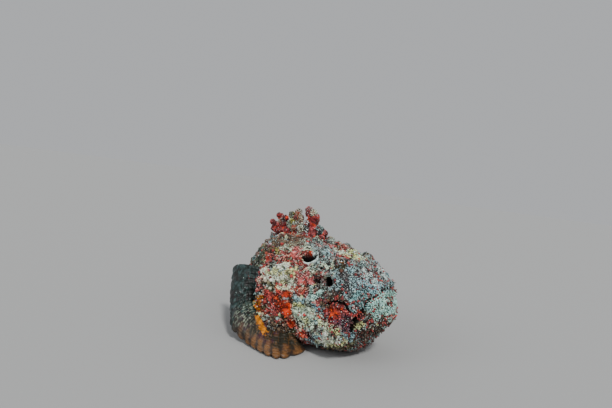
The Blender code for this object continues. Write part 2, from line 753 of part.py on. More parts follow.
def lid(name, side, around=14, sides=5):
    """The ring of raised skin round an eye."""
    lean = skin_spot(EYE_SKIN_PLACE, side)[1]
    first, second = across(lean)
    centre = eye_centre(side) + lean * LID_RISE
    turn = np.linspace(0, 2 * math.pi, around + 1)[:-1]
    tilt = np.linspace(0, 2 * math.pi, sides + 1)[:-1]
    points = [
        centre + (LID_RING + LID_RADIUS * math.cos(b)) * (math.cos(a) * first + math.sin(a) * second)
        + LID_RADIUS * math.sin(b) * lean
        for a in turn
        for b in tilt
    ]
    faces = []
    for step in range(around):
        here, after = step * sides, (step + 1) % around * sides
        for corner in range(sides):
            beside = (corner + 1) % sides
            faces.append((here + corner, after + corner, after + beside))
            faces.append((here + corner, after + beside, here + beside))
    return object_of(name, np.array(points), faces)


def flesh():
    """Head, lower jaw, trunk and tail stalk: the body with its knobs, parted by thin cuts."""
    whole = body_solid("whole")
    raised = [knob(f"knob_{n}", *place) for n, place in enumerate(knob_places())]
    raised += [lip("upper_lip", LIP_OFFSET), lip("lower_lip", -LIP_OFFSET)]
    holes = []
    for side in (1, -1):
        raised.append(lid(f"lid_{side}", side))
        for number, place in enumerate(NOSTRIL_PLACES):
            spot, lean = skin_spot(place, side)
            raised.append(knob(f"nostril_{number}_{side}", spot, lean, NOSTRIL_RADIUS))
            holes.append(ball(f"hole_{number}_{side}", spot + lean * NOSTRIL_RADIUS, NOSTRIL_HOLE, 5, 7))
    whole = keep_largest(combine(whole, raised, "UNION", "MANIFOLD"))
    combine(whole, holes, "DIFFERENCE", "MANIFOLD")
    half = GAP / 2
    far = 400.0
    spans = {
        "head": (-GILL_CUT + half, far),
        "trunk": (-STALK_CUT + half, -GILL_CUT - half),
        "tail_stalk": (-far, -STALK_CUT - half),
    }
    made = {}
    for name, (low, high) in spans.items():
        piece = copy_of(whole, name)
        made[name] = combine(piece, [block("span", (low, -far, -far), (high, far, far))], "INTERSECT")
    made["lower_jaw"] = combine(copy_of(made["head"], "lower_jaw"), [jaw_block("jaw")], "INTERSECT")
    sockets = [ball(f"socket_{side}", eye_centre(side), EYE_RADIUS + GAP) for side in (1, -1)]
    combine(made["head"], [jaw_block("jaw", GAP), *sockets], "DIFFERENCE")
    bpy.data.objects.remove(whole)
    for piece in made.values():
        keep_largest(piece)
    return made


def place_origin(pieces):
    """Puts the origin under the middle of the footprint."""
    everything = np.array([vert.co for piece in pieces for vert in piece.data.vertices])
    low, high = everything.min(0), everything.max(0)
    for piece in pieces:
        for vert in piece.data.vertices:
            vert.co.x -= (low[0] + high[0]) / 2
            vert.co.y -= (low[1] + high[1]) / 2


def main():
    for old in list(bpy.data.objects):
        bpy.data.objects.remove(old)
    pieces = {name: (move(piece, swept), "skin") for name, piece in flesh().items()}
    pieces["lower_jaw"] = (pieces["lower_jaw"][0], "jaw")
    fins = [pectoral_fin(1), pectoral_fin(-1), pelvic_fin(1), pelvic_fin(-1)]
    fins += [tail_fin(), soft_dorsal_fin(), anal_fin(), spiny_dorsal_fin()]
    for fin in fins:
        move(fin, turned if fin.name == "left_pectoral_fin" else swept)
        combine(fin, [move(body_solid("grown", GAP), swept)], "DIFFERENCE")
        keep_largest(fin)
        pieces[fin.name] = (fin, "crest" if fin.name == "spiny_dorsal_fin" else "fin")
    for side, name in ((1, "left_eye"), (-1, "right_eye")):
        pieces[name] = (ball(name, eye_centre(side), EYE_RADIUS), "eye")
    for piece, slot in pieces.values():
        piece.data.materials.clear()
        piece.data.materials.append(material(slot))
        piece.data.shade_smooth()
    place_origin([piece for piece, slot in pieces.values()])


WARTS = wart_places()
main()
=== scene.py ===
import math

import bpy
import numpy as np
from mathutils import Matrix, Vector


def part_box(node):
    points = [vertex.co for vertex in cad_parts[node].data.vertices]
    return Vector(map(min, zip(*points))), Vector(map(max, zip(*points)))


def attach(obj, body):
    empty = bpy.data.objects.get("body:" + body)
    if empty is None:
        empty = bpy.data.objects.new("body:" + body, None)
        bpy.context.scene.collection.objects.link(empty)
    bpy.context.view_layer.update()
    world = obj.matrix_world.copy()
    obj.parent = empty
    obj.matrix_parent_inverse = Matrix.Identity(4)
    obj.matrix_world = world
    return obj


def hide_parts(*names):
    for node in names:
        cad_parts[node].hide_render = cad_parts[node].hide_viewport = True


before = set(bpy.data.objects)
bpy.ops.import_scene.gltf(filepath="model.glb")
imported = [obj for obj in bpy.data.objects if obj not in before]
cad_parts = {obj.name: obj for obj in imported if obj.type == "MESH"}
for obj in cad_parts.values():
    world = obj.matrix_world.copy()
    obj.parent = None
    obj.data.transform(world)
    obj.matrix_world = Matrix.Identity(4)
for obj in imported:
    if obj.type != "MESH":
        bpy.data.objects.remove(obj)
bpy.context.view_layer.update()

# Shapes are made in millimetres, in the frame of the straight fish: the snout tip is at x = 0, +X is forward,
# +Y is the fish's left and the floor is z = 0. toFrame sweeps the tail and gives metres in the frame's axes.
mm = 0.001


def through(stations, at):
    # Smooth values at the given places, through stations of (place, value).
    places, values = np.array(stations, float).T
    slopes = np.gradient(values, places)
    at = np.clip(at, places[0], places[-1])
    left = np.clip(np.searchsorted(places, at, side="right") - 1, 0, len(places) - 2)
    width = places[left + 1] - places[left]
    share = (at - places[left]) / width
    square, cube = share**2, share**3
    return (
        (2 * cube - 3 * square + 1) * values[left]
        + (cube - 2 * square + share) * width * slopes[left]
        + (3 * square - 2 * cube) * values[left + 1]
        + (cube - square) * width * slopes[left + 1]
    )


def blendOf(first, second, share):
    return first * (1 - share[:, None]) + second * share[:, None]


def smoothstep(low, high, at):
    share = np.clip((at - low) / (high - low), 0, 1)
    return share * share * (3 - 2 * share)


def ramp(ends, share):
    return ends[0] + (ends[1] - ends[0]) * share


def bumpAt(value, centre, reach):
    return np.exp(-(((value - centre) / reach) ** 2))


def plateau(value, reach, power=4):
    # Near 1 up to the reach, and soon 0 beyond it.
    return np.exp(-((value / reach) ** power))


def fullTurn(count):
    # Angles spread evenly round a circle.
    return np.arange(count) * 2 * math.pi / count


def swung(side, front, turn):
    # Directions at these angles from one direction towards another.
    return side * np.cos(turn)[..., None] + front * np.sin(turn)[..., None]


def sided(place, side):
    # A place given for the left side, on the left (1) or the right (-1).
    return np.array(place, float) * (1, side, 1)


def onLeft(points):
    # The points with the right side folded onto the left.
    return np.stack([points[:, 0], np.abs(points[:, 1]), points[:, 2]], axis=-1)


def unit(vectors):
    return vectors / (np.linalg.norm(vectors, axis=-1, keepdims=True) + 1e-12)


def hashed(cells, seed):
    # Even numbers from 0 to 1, one for each whole-number cell.
    mixed = (cells * np.array([73856093, 19349663, 83492791])).sum(-1) + seed * 961748927
    mixed = (mixed ^ (mixed >> 15)) & 0xFFFFFFFF
    mixed = (mixed * 2246822519) & 0xFFFFFFFF
    mixed = ((mixed ^ (mixed >> 13)) * 3266489917) & 0xFFFFFFFF
    return (mixed ^ (mixed >> 16)) / 4294967296


def cloud(points, size, seed, octaves=3):
    # Smooth noise of about -1 to 1, whose largest swells are size across.
    total, weight = 0, 1
    for octave in range(octaves):
        at = points * (2**octave / size) + 17.3 * octave
        low = np.floor(at).astype(np.int64)
        share = at - low
        share = share * share * (3 - 2 * share)
        value = 0
        for corner in range(8):
            step = np.array([corner & 1, corner >> 1 & 1, corner >> 2])
            part = np.where(step, share, 1 - share).prod(-1)
            value = value + part * hashed(low + step, seed + octave)
        total = total + weight * (2 * value - 1)
        weight /= 2
    return total * 1.15


def nodules(points, size, seed):
    # Distance to the nearest of a scatter of centres, in sizes, and a number of its own for each centre.
    at = points / size
    low = np.floor(at).astype(np.int64)
    nearest = np.full(at.shape[:-1], 9.0)
    own = np.zeros(at.shape[:-1])
    for step in np.ndindex(3, 3, 3):
        cell = low + (np.array(step) - 1)
        centre = cell + np.stack([hashed(cell, seed + axis) for axis in (1, 2, 3)], axis=-1)
        away = np.linalg.norm(at - centre, axis=-1)
        closer = away < nearest
        own = np.where(closer, hashed(cell, seed + 4), own)
        nearest = np.where(closer, away, nearest)
    return nearest, own


def domes(points, size, seed, edge, least, spread=1.0):
    # Rounded lumps on such centres, each of its own height.
    away, own = nodules(points, size, seed)
    return np.clip(1 - (away / edge) ** 2, 0, 1) * (least + spread * own)


def cloudVectors(points, size, seed, octaves):
    return np.stack([cloud(points, size, seed + axis, octaves) for axis in range(3)], axis=-1)


def paint(red, green, blue):
    # A colour from its screen values of 0 to 255.
    values = np.array([red, green, blue]) / 255
    return np.where(values <= 0.04045, values / 12.92, ((values + 0.055) / 1.055) ** 2.4)


# The body: its rings, from the snout tip to the root of the tail fin
body = {
    "length": 280.0, "snoutDepth": 26.0, "stumpDepth": 7.0, "snoutSkin": 52.0, "stumpSkin": 12.0,
    "sections": (  # distance back, half width, height of the back, height of the belly
        (0, 45, 87, 15), (26, 54, 101, 6), (50, 58, 109, 1), (80, 62, 115, -3), (108, 66, 117, -4),
        (126, 60, 116, -4), (142, 46, 113, -4), (160, 37, 106, -4), (178, 32, 94, -4), (210, 26, 72, 2),
        (245, 18, 59, 10), (280, 11, 53, 16),
    ),
    "middles": ((0, 62), (60, 52), (150, 46), (210, 42), (280, 38)),  # distance back, height of the sides
    "roundTop": 2.3, "roundBelly": 2.4, "gillCut": 129.0, "stalkCut": 222.0,
}
straightEnd = body["snoutSkin"] + body["length"] - body["snoutDepth"]
skinEnd = straightEnd + body["stumpSkin"]

# Swellings and hollows of the skin: place, reach along each axis, and height. Paired ones have y > 0.
headForms = {
    "eye turret": ((-43, 36, 104), (10, 9, 10), 6.5),
    "brow": ((-66, 34, 112), (17, 9, 8), 6.0),
    "mound behind the brow": ((-97, 46, 104), (11, 9, 8), 4.0),
    "pit behind the eye": ((-79, 47, 99), (10, 8, 6), -9.0),
    "pit below the eye": ((-46, 52, 83), (11, 10, 7), -9.0),
    "saddle between the eyes": ((-48, 0, 110), (17, 17, 22), -6.0),
    "hollow of the nape": ((-84, 0, 116), (10, 20, 14), -4.0),
    "upper lip": ((-2, 0, 84), (12, 26, 8), 4.0),
    "upper cheek": ((-94, 60, 79), (19, 14, 13), 5.0),
    "cheek ridge": ((-62, 60, 60), (26, 14, 8), 4.0),
    "end of the upper jaw": ((-29, 54, 50), (9, 10, 12), 4.5),
    "lump under the corner of the mouth": ((-35, 49, 26), (13, 14, 11), 4.5),
    "fold over the jaw": ((-40, 52, 66), (16, 12, 5), 3.0),
    "gill cover edge": ((-118, 62, 58), (8, 16, 34), 5.5),
    "gill slit": ((-130, 64, 60), (6, 18, 36), -5.0),
    "chin": ((2, 0, 54), (15, 31, 20), 13.0),
    "throat": ((-18, 0, 20), (18, 30, 16), 2.0),
    "bump on the nape": ((-87, 13, 119), (6, 6, 8), 10.5),
    "bump between nape and eye": ((-69, 13, 118), (7, 7, 8), 5.5),
    "bump before the eye": ((-51, 13, 113), (8, 7, 8), 7.5),
    "back behind the head": ((-150, 16, 110), (24, 12, 10), 1.5),
}
warts = {"seed": 11, "count": 210, "reach": (4.5, 8.5), "height": (1.4, 3.4), "sides": 0.85}
sweep = {"start": 95.0, "end": 240.0, "angle": math.radians(52.0), "shoulder": 125.0}


def section(column, back):
    return through([(row[0], row[column]) for row in body["sections"]], back)


def ringAt(skin):
    # Distance back and openness of the ring that lies this far along the skin from the snout tip.
    front = np.clip(skin / body["snoutSkin"], 0, 1) * math.pi / 2
    rear = np.clip((skin - straightEnd) / body["stumpSkin"], 0, 1) * math.pi / 2
    straight = np.clip(skin - body["snoutSkin"], 0, body["length"] - body["snoutDepth"])
    back = body["snoutDepth"] * (1 - np.cos(front)) + straight + body["stumpDepth"] * np.sin(rear)
    return back, np.sin(front) * np.cos(rear)


def smoothBody(skin, angle):
    # Points of the body without its forms. Angle 0 is the left side and a quarter turn is the back.
    back, openness = ringAt(skin)
    middle = through(body["middles"], back)
    up = (section(2, back) - middle) * openness
    down = (middle - section(3, back)) * openness
    across, rise = np.cos(angle), np.sin(angle)
    power = 2 / np.where(rise >= 0, body["roundTop"], body["roundBelly"])
    y = section(1, back) * openness * np.sign(across) * np.abs(across) ** power
    z = middle + np.where(rise >= 0, up, down) * np.sign(rise) * np.abs(rise) ** power
    return np.stack([-back, y, z], axis=-1)


def outward(skin, angle):
    step = 0.4
    skin = np.clip(skin, 2 * step, skinEnd - 2 * step)
    along = smoothBody(skin + step, angle) - smoothBody(skin - step, angle)
    turn = step / 40
    around = smoothBody(skin, angle + turn) - smoothBody(skin, angle - turn)
    return unit(np.cross(along, around))


def bump(points, centre, reach):
    away = (points - np.array(centre, float)) / np.array(reach, float)
    return np.exp(-(away**2).sum(-1))


def wartPlaces():
    # Centres, reaches and heights of the large warts, spread over the body by area.
    draw = np.random.default_rng(warts["seed"])
    skin = draw.uniform(20, straightEnd, 6 * warts["count"])
    turn = draw.uniform(-warts["sides"], math.pi + warts["sides"], len(skin))
    girth = section(1, ringAt(skin)[0])
    kept = draw.random(len(skin)) < girth / girth.max()
    centres = smoothBody(skin[kept], turn[kept])[: warts["count"]]
    return centres, *(draw.uniform(*warts[key], len(centres)) for key in ("reach", "height"))


wartList = wartPlaces()


def relief(points):
    # How far the forms and the large warts raise the skin at these points of the smooth body.
    height = np.zeros(points.shape[:-1])
    for centre, reach, size in headForms.values():
        for side in (1, -1) if centre[1] else (1,):
            height += size * bump(points, sided(centre, side), reach)
    for centre, reach, size in zip(*wartList):
        near = np.abs(points[..., 0] - centre[0]) < 2.6 * reach
        height[near] += size * bump(points[near], centre, (reach,) * 3)
    return height


def skinPoints(skin, angle):
    # Points of the skin with its forms and warts, as the solids have them.
    smooth = smoothBody(skin, angle)
    raised = smooth + outward(skin, angle) * relief(smooth)[..., None]
    raised[..., 2] = np.maximum(raised[..., 2], 0)
    return raised


def nearestOnSkin(place):
    # The skin place and angle whose smooth point is nearest to a point.
    rows = np.linspace(1, straightEnd, 153)
    turns = np.linspace(-math.pi, math.pi, 241)[:-1]
    skin, angle = np.meshgrid(rows, turns, indexing="ij")
    far = np.linalg.norm(smoothBody(skin, angle) - np.array(place, float), axis=-1)
    row, column = np.unravel_index(far.argmin(), far.shape)
    return rows[row], turns[column]


# The eyes. Socket, lids and bare skin are given by their distance from a point just outside the eye's centre.
eyes = {
    "skinPlace": (-43, 36, 104), "radius": 6.0, "sunk": 2.6, "outside": 2.0, "bare": 6.2,
    "socket": 5.0, "socketDeep": 4.0, "lid": 7.0, "lidWide": 1.4, "lidHigh": 1.8,
}


def eyeFoot(side):
    # The skin place and angle over an eye.
    return (np.array([found]) for found in nearestOnSkin(sided(eyes["skinPlace"], side)))


def eyeCentre(side):
    skin, angle = eyeFoot(side)
    return (skinPoints(skin, angle) - outward(skin, angle) * eyes["sunk"])[0]


def eyeGap(points, side):
    # How far the points are from just outside an eye's centre.
    return np.linalg.norm(points - eyeCentres[side] - eyeAxes[side] * eyes["outside"], axis=-1)


eyeCentres = {side: eyeCentre(side) for side in (1, -1)}
eyeAxes = {side: outward(*eyeFoot(side))[0] for side in (1, -1)}
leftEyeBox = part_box("left_eye")
originShift = np.array((leftEyeBox[0] + leftEyeBox[1]) / 2) - eyeCentres[1] * mm
originShift[2] = 0
print("origin shift", np.round(originShift / mm, 2), flush=True)


def sweepLine():
    # The line that the fish's middle follows in plan: distances back, headings and places.
    run = np.linspace(0, body["length"] + 90, 371)
    heading = sweep["angle"] * smoothstep(sweep["start"], sweep["end"], run)
    step = run[1] - run[0]
    lineX = -np.concatenate([[0], np.cumsum(np.cos(heading[1:]) * step)])
    lineY = np.concatenate([[0], np.cumsum(np.sin(heading[1:]) * step)])
    return run, heading, lineX, lineY


def toFrame(points):
    # The tail bent to the left: each place behind the cheeks follows the line.
    run, heading, lineX, lineY = sweepLine()
    back = np.maximum(-points[:, 0], 0)
    turn = np.interp(back, run, heading)
    bent = points.copy()
    bent[:, 0] = np.interp(back, run, lineX) + points[:, 1] * np.sin(turn) + np.maximum(points[:, 0], 0)
    bent[:, 1] = np.interp(back, run, lineY) + points[:, 1] * np.cos(turn)
    return bent * mm + originShift


def carriedToFrame(points):
    # The fin inside the bend is carried stiffly by the shoulder.
    run, heading, lineX, lineY = sweepLine()
    turn = np.interp(sweep["shoulder"], run, heading)
    ahead, aside = points[:, 0] + sweep["shoulder"], points[:, 1]
    moved = points.copy()
    moved[:, 0] = np.interp(sweep["shoulder"], run, lineX) + ahead * np.cos(turn) + aside * np.sin(turn)
    moved[:, 1] = np.interp(sweep["shoulder"], run, lineY) - ahead * np.sin(turn) + aside * np.cos(turn)
    return moved * mm + originShift


# Materials: the granular bump, roughness and wetness of each finish, and the scale and detail of its noise
finishes = {
    "crusted skin": (0.8, 0.8, 0.06),
    "crust granules": (0.35, 0.75, 0.06),
    "fin skin": (0.5, 0.62, 0.15),
}
noises = {"speck": (900.0, 2.0), "blotch": (160.0, 4.0), "fine": (2400.0, 3.0)}
pimples = {"Scale": 620.0, "Smoothness": 0.4}


class Wire:
    # A socket of a node tree. Arithmetic on it adds Math nodes.
    def __init__(self, tree, socket):
        self.tree = tree
        self.socket = socket

    def feed(self, value, target):
        if isinstance(value, Wire):
            self.tree.links.new(value.socket, target)
        else:
            target.default_value = value

    def node(self, kind, settings=None, sockets=None, output=0):
        made = self.tree.nodes.new("ShaderNode" + kind)
        for name, value in (settings or {}).items():
            setattr(made, name, value)
        for name, value in (sockets or {}).items():
            self.feed(value, made.inputs[name])
        return Wire(self.tree, made.outputs[output])

    def math(self, operation, first, second):
        return self.node("Math", {"operation": operation}, {0: first, 1: second})

    def __add__(self, other):
        return self.math("ADD", self, other)

    def __radd__(self, other):
        return self.math("ADD", other, self)

    def __sub__(self, other):
        return self.math("SUBTRACT", self, other)

    def __rsub__(self, other):
        return self.math("SUBTRACT", other, self)

    def __mul__(self, other):
        return self.math("MULTIPLY", self, other)

    def __rmul__(self, other):
        return self.math("MULTIPLY", other, self)

    def between(self, low, high):
        settings = {"interpolation_type": "SMOOTHSTEP"}
        sockets = {"Value": self, "From Min": low, "From Max": high}
        return self.node("MapRange", settings, sockets)

    def tinted(self, factor):
        # This colour times a grey.
        return self.node("VectorMath", {"operation": "SCALE"}, {0: self, "Scale": factor})


def newMaterial(name, **fixed):
    made = bpy.data.materials.new(name)
    made.use_nodes = True
    tree = made.node_tree
    shader = tree.nodes["Principled BSDF"]
    for socket, value in fixed.items():
        shader.inputs[socket.replace("_", " ")].default_value = value
    return made, Wire(tree, shader.outputs[0]), shader


def noiseOf(wire, place, name):
    scale, detail = noises[name]
    sockets = {"Vector": place, "Scale": scale, "Detail": detail, "Roughness": 0.55}
    return wire.node("TexNoise", sockets=sockets)


def bumpOf(wire, height, strength, distance, **below):
    sockets = {"Height": height, "Strength": strength, "Distance": distance}
    return wire.node("Bump", sockets={**sockets, **below})


def tintOf(wire):
    return wire.node("Attribute", {"attribute_name": "tint"}, output="Color")


def crustMaterial(name):
    # Skin, coat and fins: the painted colour, broken up by fine specks, with a granular bump.
    grain, roughness, wetness = finishes[name]
    made, wire, shader = newMaterial(name, Coat_Weight=wetness, Coat_Roughness=0.25, Specular_IOR_Level=0.35)
    place = wire.node("TexCoord", output="Object")
    speck = noiseOf(wire, place, "speck").between(0.35, 0.7)
    blotch = noiseOf(wire, place, "blotch").between(0.3, 0.7)
    wire.feed(tintOf(wire).tinted(0.6 + 0.5 * speck + 0.3 * blotch), shader.inputs["Base Color"])
    wire.feed(roughness - 0.15 * blotch, shader.inputs["Roughness"])
    cells = wire.node("TexVoronoi", {"feature": "SMOOTH_F1"}, {"Vector": place, **pimples})
    rough = bumpOf(wire, 1 - cells, grain, 0.0006)
    fine = bumpOf(wire, noiseOf(wire, place, "fine"), 0.35, 0.0002, Normal=rough)
    wire.feed(fine, shader.inputs["Normal"])
    return made


def eyeMaterial():
    made, wire, shader = newMaterial("eyeball", Roughness=0.12, Coat_Weight=0.8, Coat_Roughness=0.04)
    wire.feed(tintOf(wire), shader.inputs["Base Color"])
    return made


# Meshes
def newObject(name, data):
    made = bpy.data.objects.new(name, data)
    bpy.context.scene.collection.objects.link(made)
    return made


def meshOf(name, surface, material, replaced=(), place=toFrame):
    # An object from a surface: points in the fish's frame, faces of one size, corner uv and a tint for each
    # point. Nothing of it goes below the floor.
    points, faces = place(surface["points"]), surface["faces"]
    points[:, 2] = np.maximum(points[:, 2], 0)
    sides = faces.shape[1]
    mesh = bpy.data.meshes.new(name)
    mesh.vertices.add(len(points))
    mesh.vertices.foreach_set("co", points.astype(np.float32).ravel())
    mesh.loops.add(faces.size)
    mesh.loops.foreach_set("vertex_index", faces.astype(np.int32).ravel())
    mesh.polygons.add(len(faces))
    mesh.polygons.foreach_set("loop_start", np.arange(0, faces.size, sides, dtype=np.int32))
    mesh.update(calc_edges=True)
    mesh.uv_layers.new(name="OFBake").data.foreach_set("uv", surface["uv"].astype(np.float32).ravel())
    tint = mesh.color_attributes.new("tint", "FLOAT_COLOR", "POINT")
    colours = np.concatenate([surface["tint"], np.ones((len(points), 1))], axis=1)
    tint.data.foreach_set("color", colours.astype(np.float32).ravel())
    mesh.materials.append(material)
    mesh.shade_smooth()
    piece = newObject(name, mesh)
    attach(piece, "root")
    if replaced:
        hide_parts(*replaced)
    print(f"{name}: {len(faces) * (sides - 2)} triangles", flush=True)


def gridFaces(rows, columns, wrap):
    # Quads of a grid of points, row by row. A wrapped grid closes round.
    row, column = np.meshgrid(np.arange(rows - 1), np.arange(columns if wrap else columns - 1), indexing="ij")
    here, after = row * columns + column, row * columns + (column + 1) % columns
    return np.stack([here, after, after + columns, here + columns], axis=-1).reshape(-1, 4)


def gridUv(across, down, low, high, wrap):
    # Corner uv of a grid, stretched over the box from low to high.
    u = np.append(across, 1.0) if wrap else across
    left, right = u[:-1], u[1:]
    top, bottom = down[:-1], down[1:]
    corners = [(left, top), (right, top), (right, bottom), (left, bottom)]
    stacked = [np.stack(np.broadcast_arrays(x[None, :], y[:, None]), axis=-1) for x, y in corners]
    uv = np.stack(stacked, axis=2).reshape(-1, 4, 2)
    return np.array(low) + uv * (np.array(high) - np.array(low))


def gridNormals(points, wrap):
    # Outward normals of a grid of points, shaped rows by columns by 3.
    down, side = np.gradient(points, axis=0), np.gradient(points, axis=1)
    if wrap:
        side = np.roll(points, -1, axis=1) - np.roll(points, 1, axis=1)
    return unit(np.cross(down, side))


def joined(surfaces):
    # One surface from several.
    starts = np.cumsum([0] + [len(surface["points"]) for surface in surfaces])
    keys = ("points", "normals", "tint", "grain", "crowd", "uv")
    whole = {key: np.concatenate([surface[key] for surface in surfaces]) for key in keys}
    whole["faces"] = np.concatenate([surface["faces"] + start for surface, start in zip(surfaces, starts)])
    return whole


# Colours of the crust: what its granules have, what the skin between them has, and how closely they stand.
# The skin between the granules is darker, partly its own colour and partly painted shade between them.
crustColours = {
    "cream": ((222, 240, 208), (84, 84, 64), 1.0),
    "bright cream": ((244, 255, 224), (206, 217, 182), 1.0),
    "lemon": ((222, 220, 118), (104, 96, 38), 1.0),
    "white": ((222, 242, 236), (56, 62, 64), 1.0),
    "pale green": ((182, 236, 220), (34, 66, 62), 1.0),
    "grey": ((150, 174, 170), (40, 45, 45), 1.0),
    "lilac": ((152, 194, 202), (48, 60, 68), 1.0),
    "pink": ((236, 138, 132), (204, 100, 98), 0.45),
    "rose": ((204, 92, 90), (150, 50, 54), 0.55),
    "coral": ((206, 72, 66), (138, 38, 36), 0.55),
    "red": ((176, 34, 34), (96, 18, 20), 0.5),
    "dark red": ((92, 48, 44), (25, 15, 14), 0.75),
    "umber": ((84, 70, 56), (27, 19, 16), 0.8),
    "orange": ((244, 82, 4), (232, 62, 0), 0.16),
    "amber": ((232, 140, 6), (220, 118, 2), 0.15),
    "brown": ((120, 98, 76), (42, 31, 24), 0.85),
    "olive": ((98, 92, 60), (37, 34, 22), 0.7),
    "purple": ((124, 82, 104), (48, 24, 36), 0.8),
    "teal": ((128, 178, 178), (36, 62, 64), 0.85),
    "dark teal": ((34, 76, 66), (9, 26, 22), 0.6),
    "ochre": ((114, 76, 40), (80, 48, 24), 0.3),
    "black": ((26, 20, 26), (9, 6, 9), 0.0),
}
shades = {
    name: np.concatenate([paint(*granule), paint(*ground), [crowd]])
    for name, (granule, ground, crowd) in crustColours.items()
}


def grainOf(name, strength=1.0):
    return shades[name][:3] * strength


def groundOf(name, strength=1.0):
    return shades[name][3:6] * strength


# Patches of crust on the head, in the order they are laid: place, reach along each axis, colour and cover.
# Each is on both sides, where noise breaks its edge in another way.
patches = {
    "top of the head": ((-108, 24, 114), (30, 30, 12), "brown", 0.8),
    "cream of the top": ((-100, 26, 113), (14, 14, 8), "cream", 0.4),
    "brown of the nape": ((-125, 30, 108), (20, 22, 12), "brown", 0.95),
    "brown behind the brow": ((-122, 48, 102), (13, 12, 9), "brown", 0.9),
    "grey of the top": ((-84, 22, 116), (14, 18, 9), "grey", 0.8),
    "lemon of the top": ((-116, 48, 100), (6, 6, 3.5), "lemon", 0.9),
    # Painted shade: the trunk just behind the head is painted dark olive.
    "painted shade behind the head": ((-146, 40, 92), (14, 30, 26), "olive", 0.95),
    "bump on the nape": ((-87, 13, 127), (7, 7, 9), "cream", 0.75),
    "bump between nape and eye": ((-64, 11, 118), (9, 9, 7), "coral", 0.9),
    "snout": ((-20, 28, 88), (32, 36, 22), "lilac", 0.95),
    "snout top": ((-24, 8, 98), (26, 22, 14), "grey", 0.9),
    "snout white": ((-32, 42, 84), (18, 14, 14), "white", 0.3),
    "white of the snout's front": ((-14, 16, 94), (11, 14, 9), "white", 0.75),
    "forehead": ((-62, 34, 104), (18, 16, 12), "grey", 0.9),
    "rose of the top": ((-77, 20, 117), (7, 8, 5), "rose", 0.5),
    # Painted shade: a dark spot beside the eye where shadow falls.
    "painted shade beside the eye": ((-35, 33, 106), (5, 4, 4), "umber", 0.9),
    "bump before the eye": ((-47, 5, 109), (12, 14, 10), "cream", 0.95),
    "lemon before the eye": ((-46, 4, 107), (4, 5, 4), "lemon", 0.9),
    "between eye and pit": ((-60, 46, 92), (12, 8, 8), "grey", 0.9),
    "pink brow": ((-96, 48, 102), (12, 10, 8), "pink", 1.0),
    "red of the slit": ((-83, 42, 106), (6, 5, 3), "orange", 0.9),
    "red line over the cheek": ((-101, 55, 93), (18, 10, 4), "coral", 1.0),
    "red behind the cheek": ((-119, 62, 76), (4.5, 12, 14), "coral", 0.95),
    "gill cover pink": ((-121, 62, 60), (4, 14, 9), "pink", 0.8),
    "cream cheek": ((-97, 63, 77), (20, 14, 14), "bright cream", 1.0),
    "lemon cheek": ((-86, 60, 84), (6, 8, 5), "lemon", 0.7),
    "middle pink": ((-67, 58, 80), (12, 10, 10), "pink", 1.0),
    "middle red": ((-68, 60, 69), (8, 10, 6), "coral", 0.9),
    "pale disc": ((-54, 57, 71), (9, 8, 8), "pale green", 1.0),
    "middle of the disc": ((-55, 57, 73), (3, 5, 3), "pink", 1.0),
    "red over the hollow": ((-60, 51, 88), (8, 8, 5), "coral", 0.95),
    # Painted shade: the hollow below the eye is painted dark red.
    "painted shade in the hollow": ((-53, 50, 80), (9, 8, 5), "dark red", 0.75),
    "orange cheek": ((-98, 66, 44), (19, 14, 12.5), "coral", 0.95),
    "pink cheek": ((-104, 66, 40), (8, 14, 8), "pink", 0.5),
    "pale nodules": ((-66, 60, 44), (18, 13, 14), "pale green", 0.6),
    "cream nodules": ((-66, 60, 44), (19, 13, 15), "cream", 0.7),
    "red of the lower cheek": ((-84, 62, 30), (13, 14, 8), "coral", 0.75),
    # Partly the cheek's own brown, partly painted shade under the cheek.
    "shaded brown of the lower cheek": ((-92, 60, 20), (18, 16, 9), "brown", 0.9),
    "brown below the orange cheek": ((-103, 66, 27), (13, 12, 5), "brown", 0.9),
    "orange of the lower cheek": ((-78, 60, 30), (4.5, 8, 4.5), "orange", 0.95),
    "red of the throat's side": ((-62, 57, 23), (4.5, 8, 4), "orange", 0.95),
    "end of the upper jaw": ((-27, 58, 52), (11, 12, 9.5), "red", 1.0),
    "orange of the upper jaw": ((-29, 58, 58), (5.5, 10, 5), "orange", 1.0),
    "purple of the upper jaw": ((-18, 53, 48), (7, 12, 8), "purple", 0.9),
    "cream under the jaw": ((-32, 52, 24), (14, 16, 13), "bright cream", 1.0),
    "lemon under the jaw": ((-30, 48, 20), (6, 10, 6), "lemon", 0.6),
    "upper lip": ((-10, 42, 71), (9, 12, 11), "teal", 1.0),
    "hollow of the mouth's corner": ((-8, 44, 58), (4, 4, 4), "red", 0.9),
    "lower lip": ((4, 12, 62), (14, 26, 14), "pale green", 1.0),
    "cream of the lower lip": ((-8, 39, 46), (7, 8, 6), "cream", 0.95),
    "pink of the lower lip": ((-2, 33, 49), (3.2, 4, 3.2), "coral", 1.0),
    "dark of the lower lip": ((7, 17, 52), (6, 4, 7), "olive", 0.9),
    "chin": ((-2, 20, 36), (16, 28, 11), "umber", 1.0),
    "throat": ((-24, 10, 10), (24, 34, 11), "umber", 0.8),
    "bright orange": ((-88, 67, 50), (9, 12, 12.5), "orange", 1.0),
    "gill cover amber": ((-117, 66, 40), (4.6, 12, 11), "amber", 1.0),
}


def lay(crust, name, cover):
    # The crust with one shade laid over it, where cover is 1.
    cover = np.clip(cover, 0, 1)[:, None]
    return crust * (1 - cover) + shades[name] * cover


def layClouds(crust, points, clouds, cover=1.0, number=0):
    # The crust with clouds laid over it in order; another number gives other clouds.
    for name, size, seed, octaves, start, full, most in clouds:
        share = smoothstep(start, full, cloud(points, size, seed + number, octaves))
        crust = lay(crust, name, most * cover * share)
    return crust


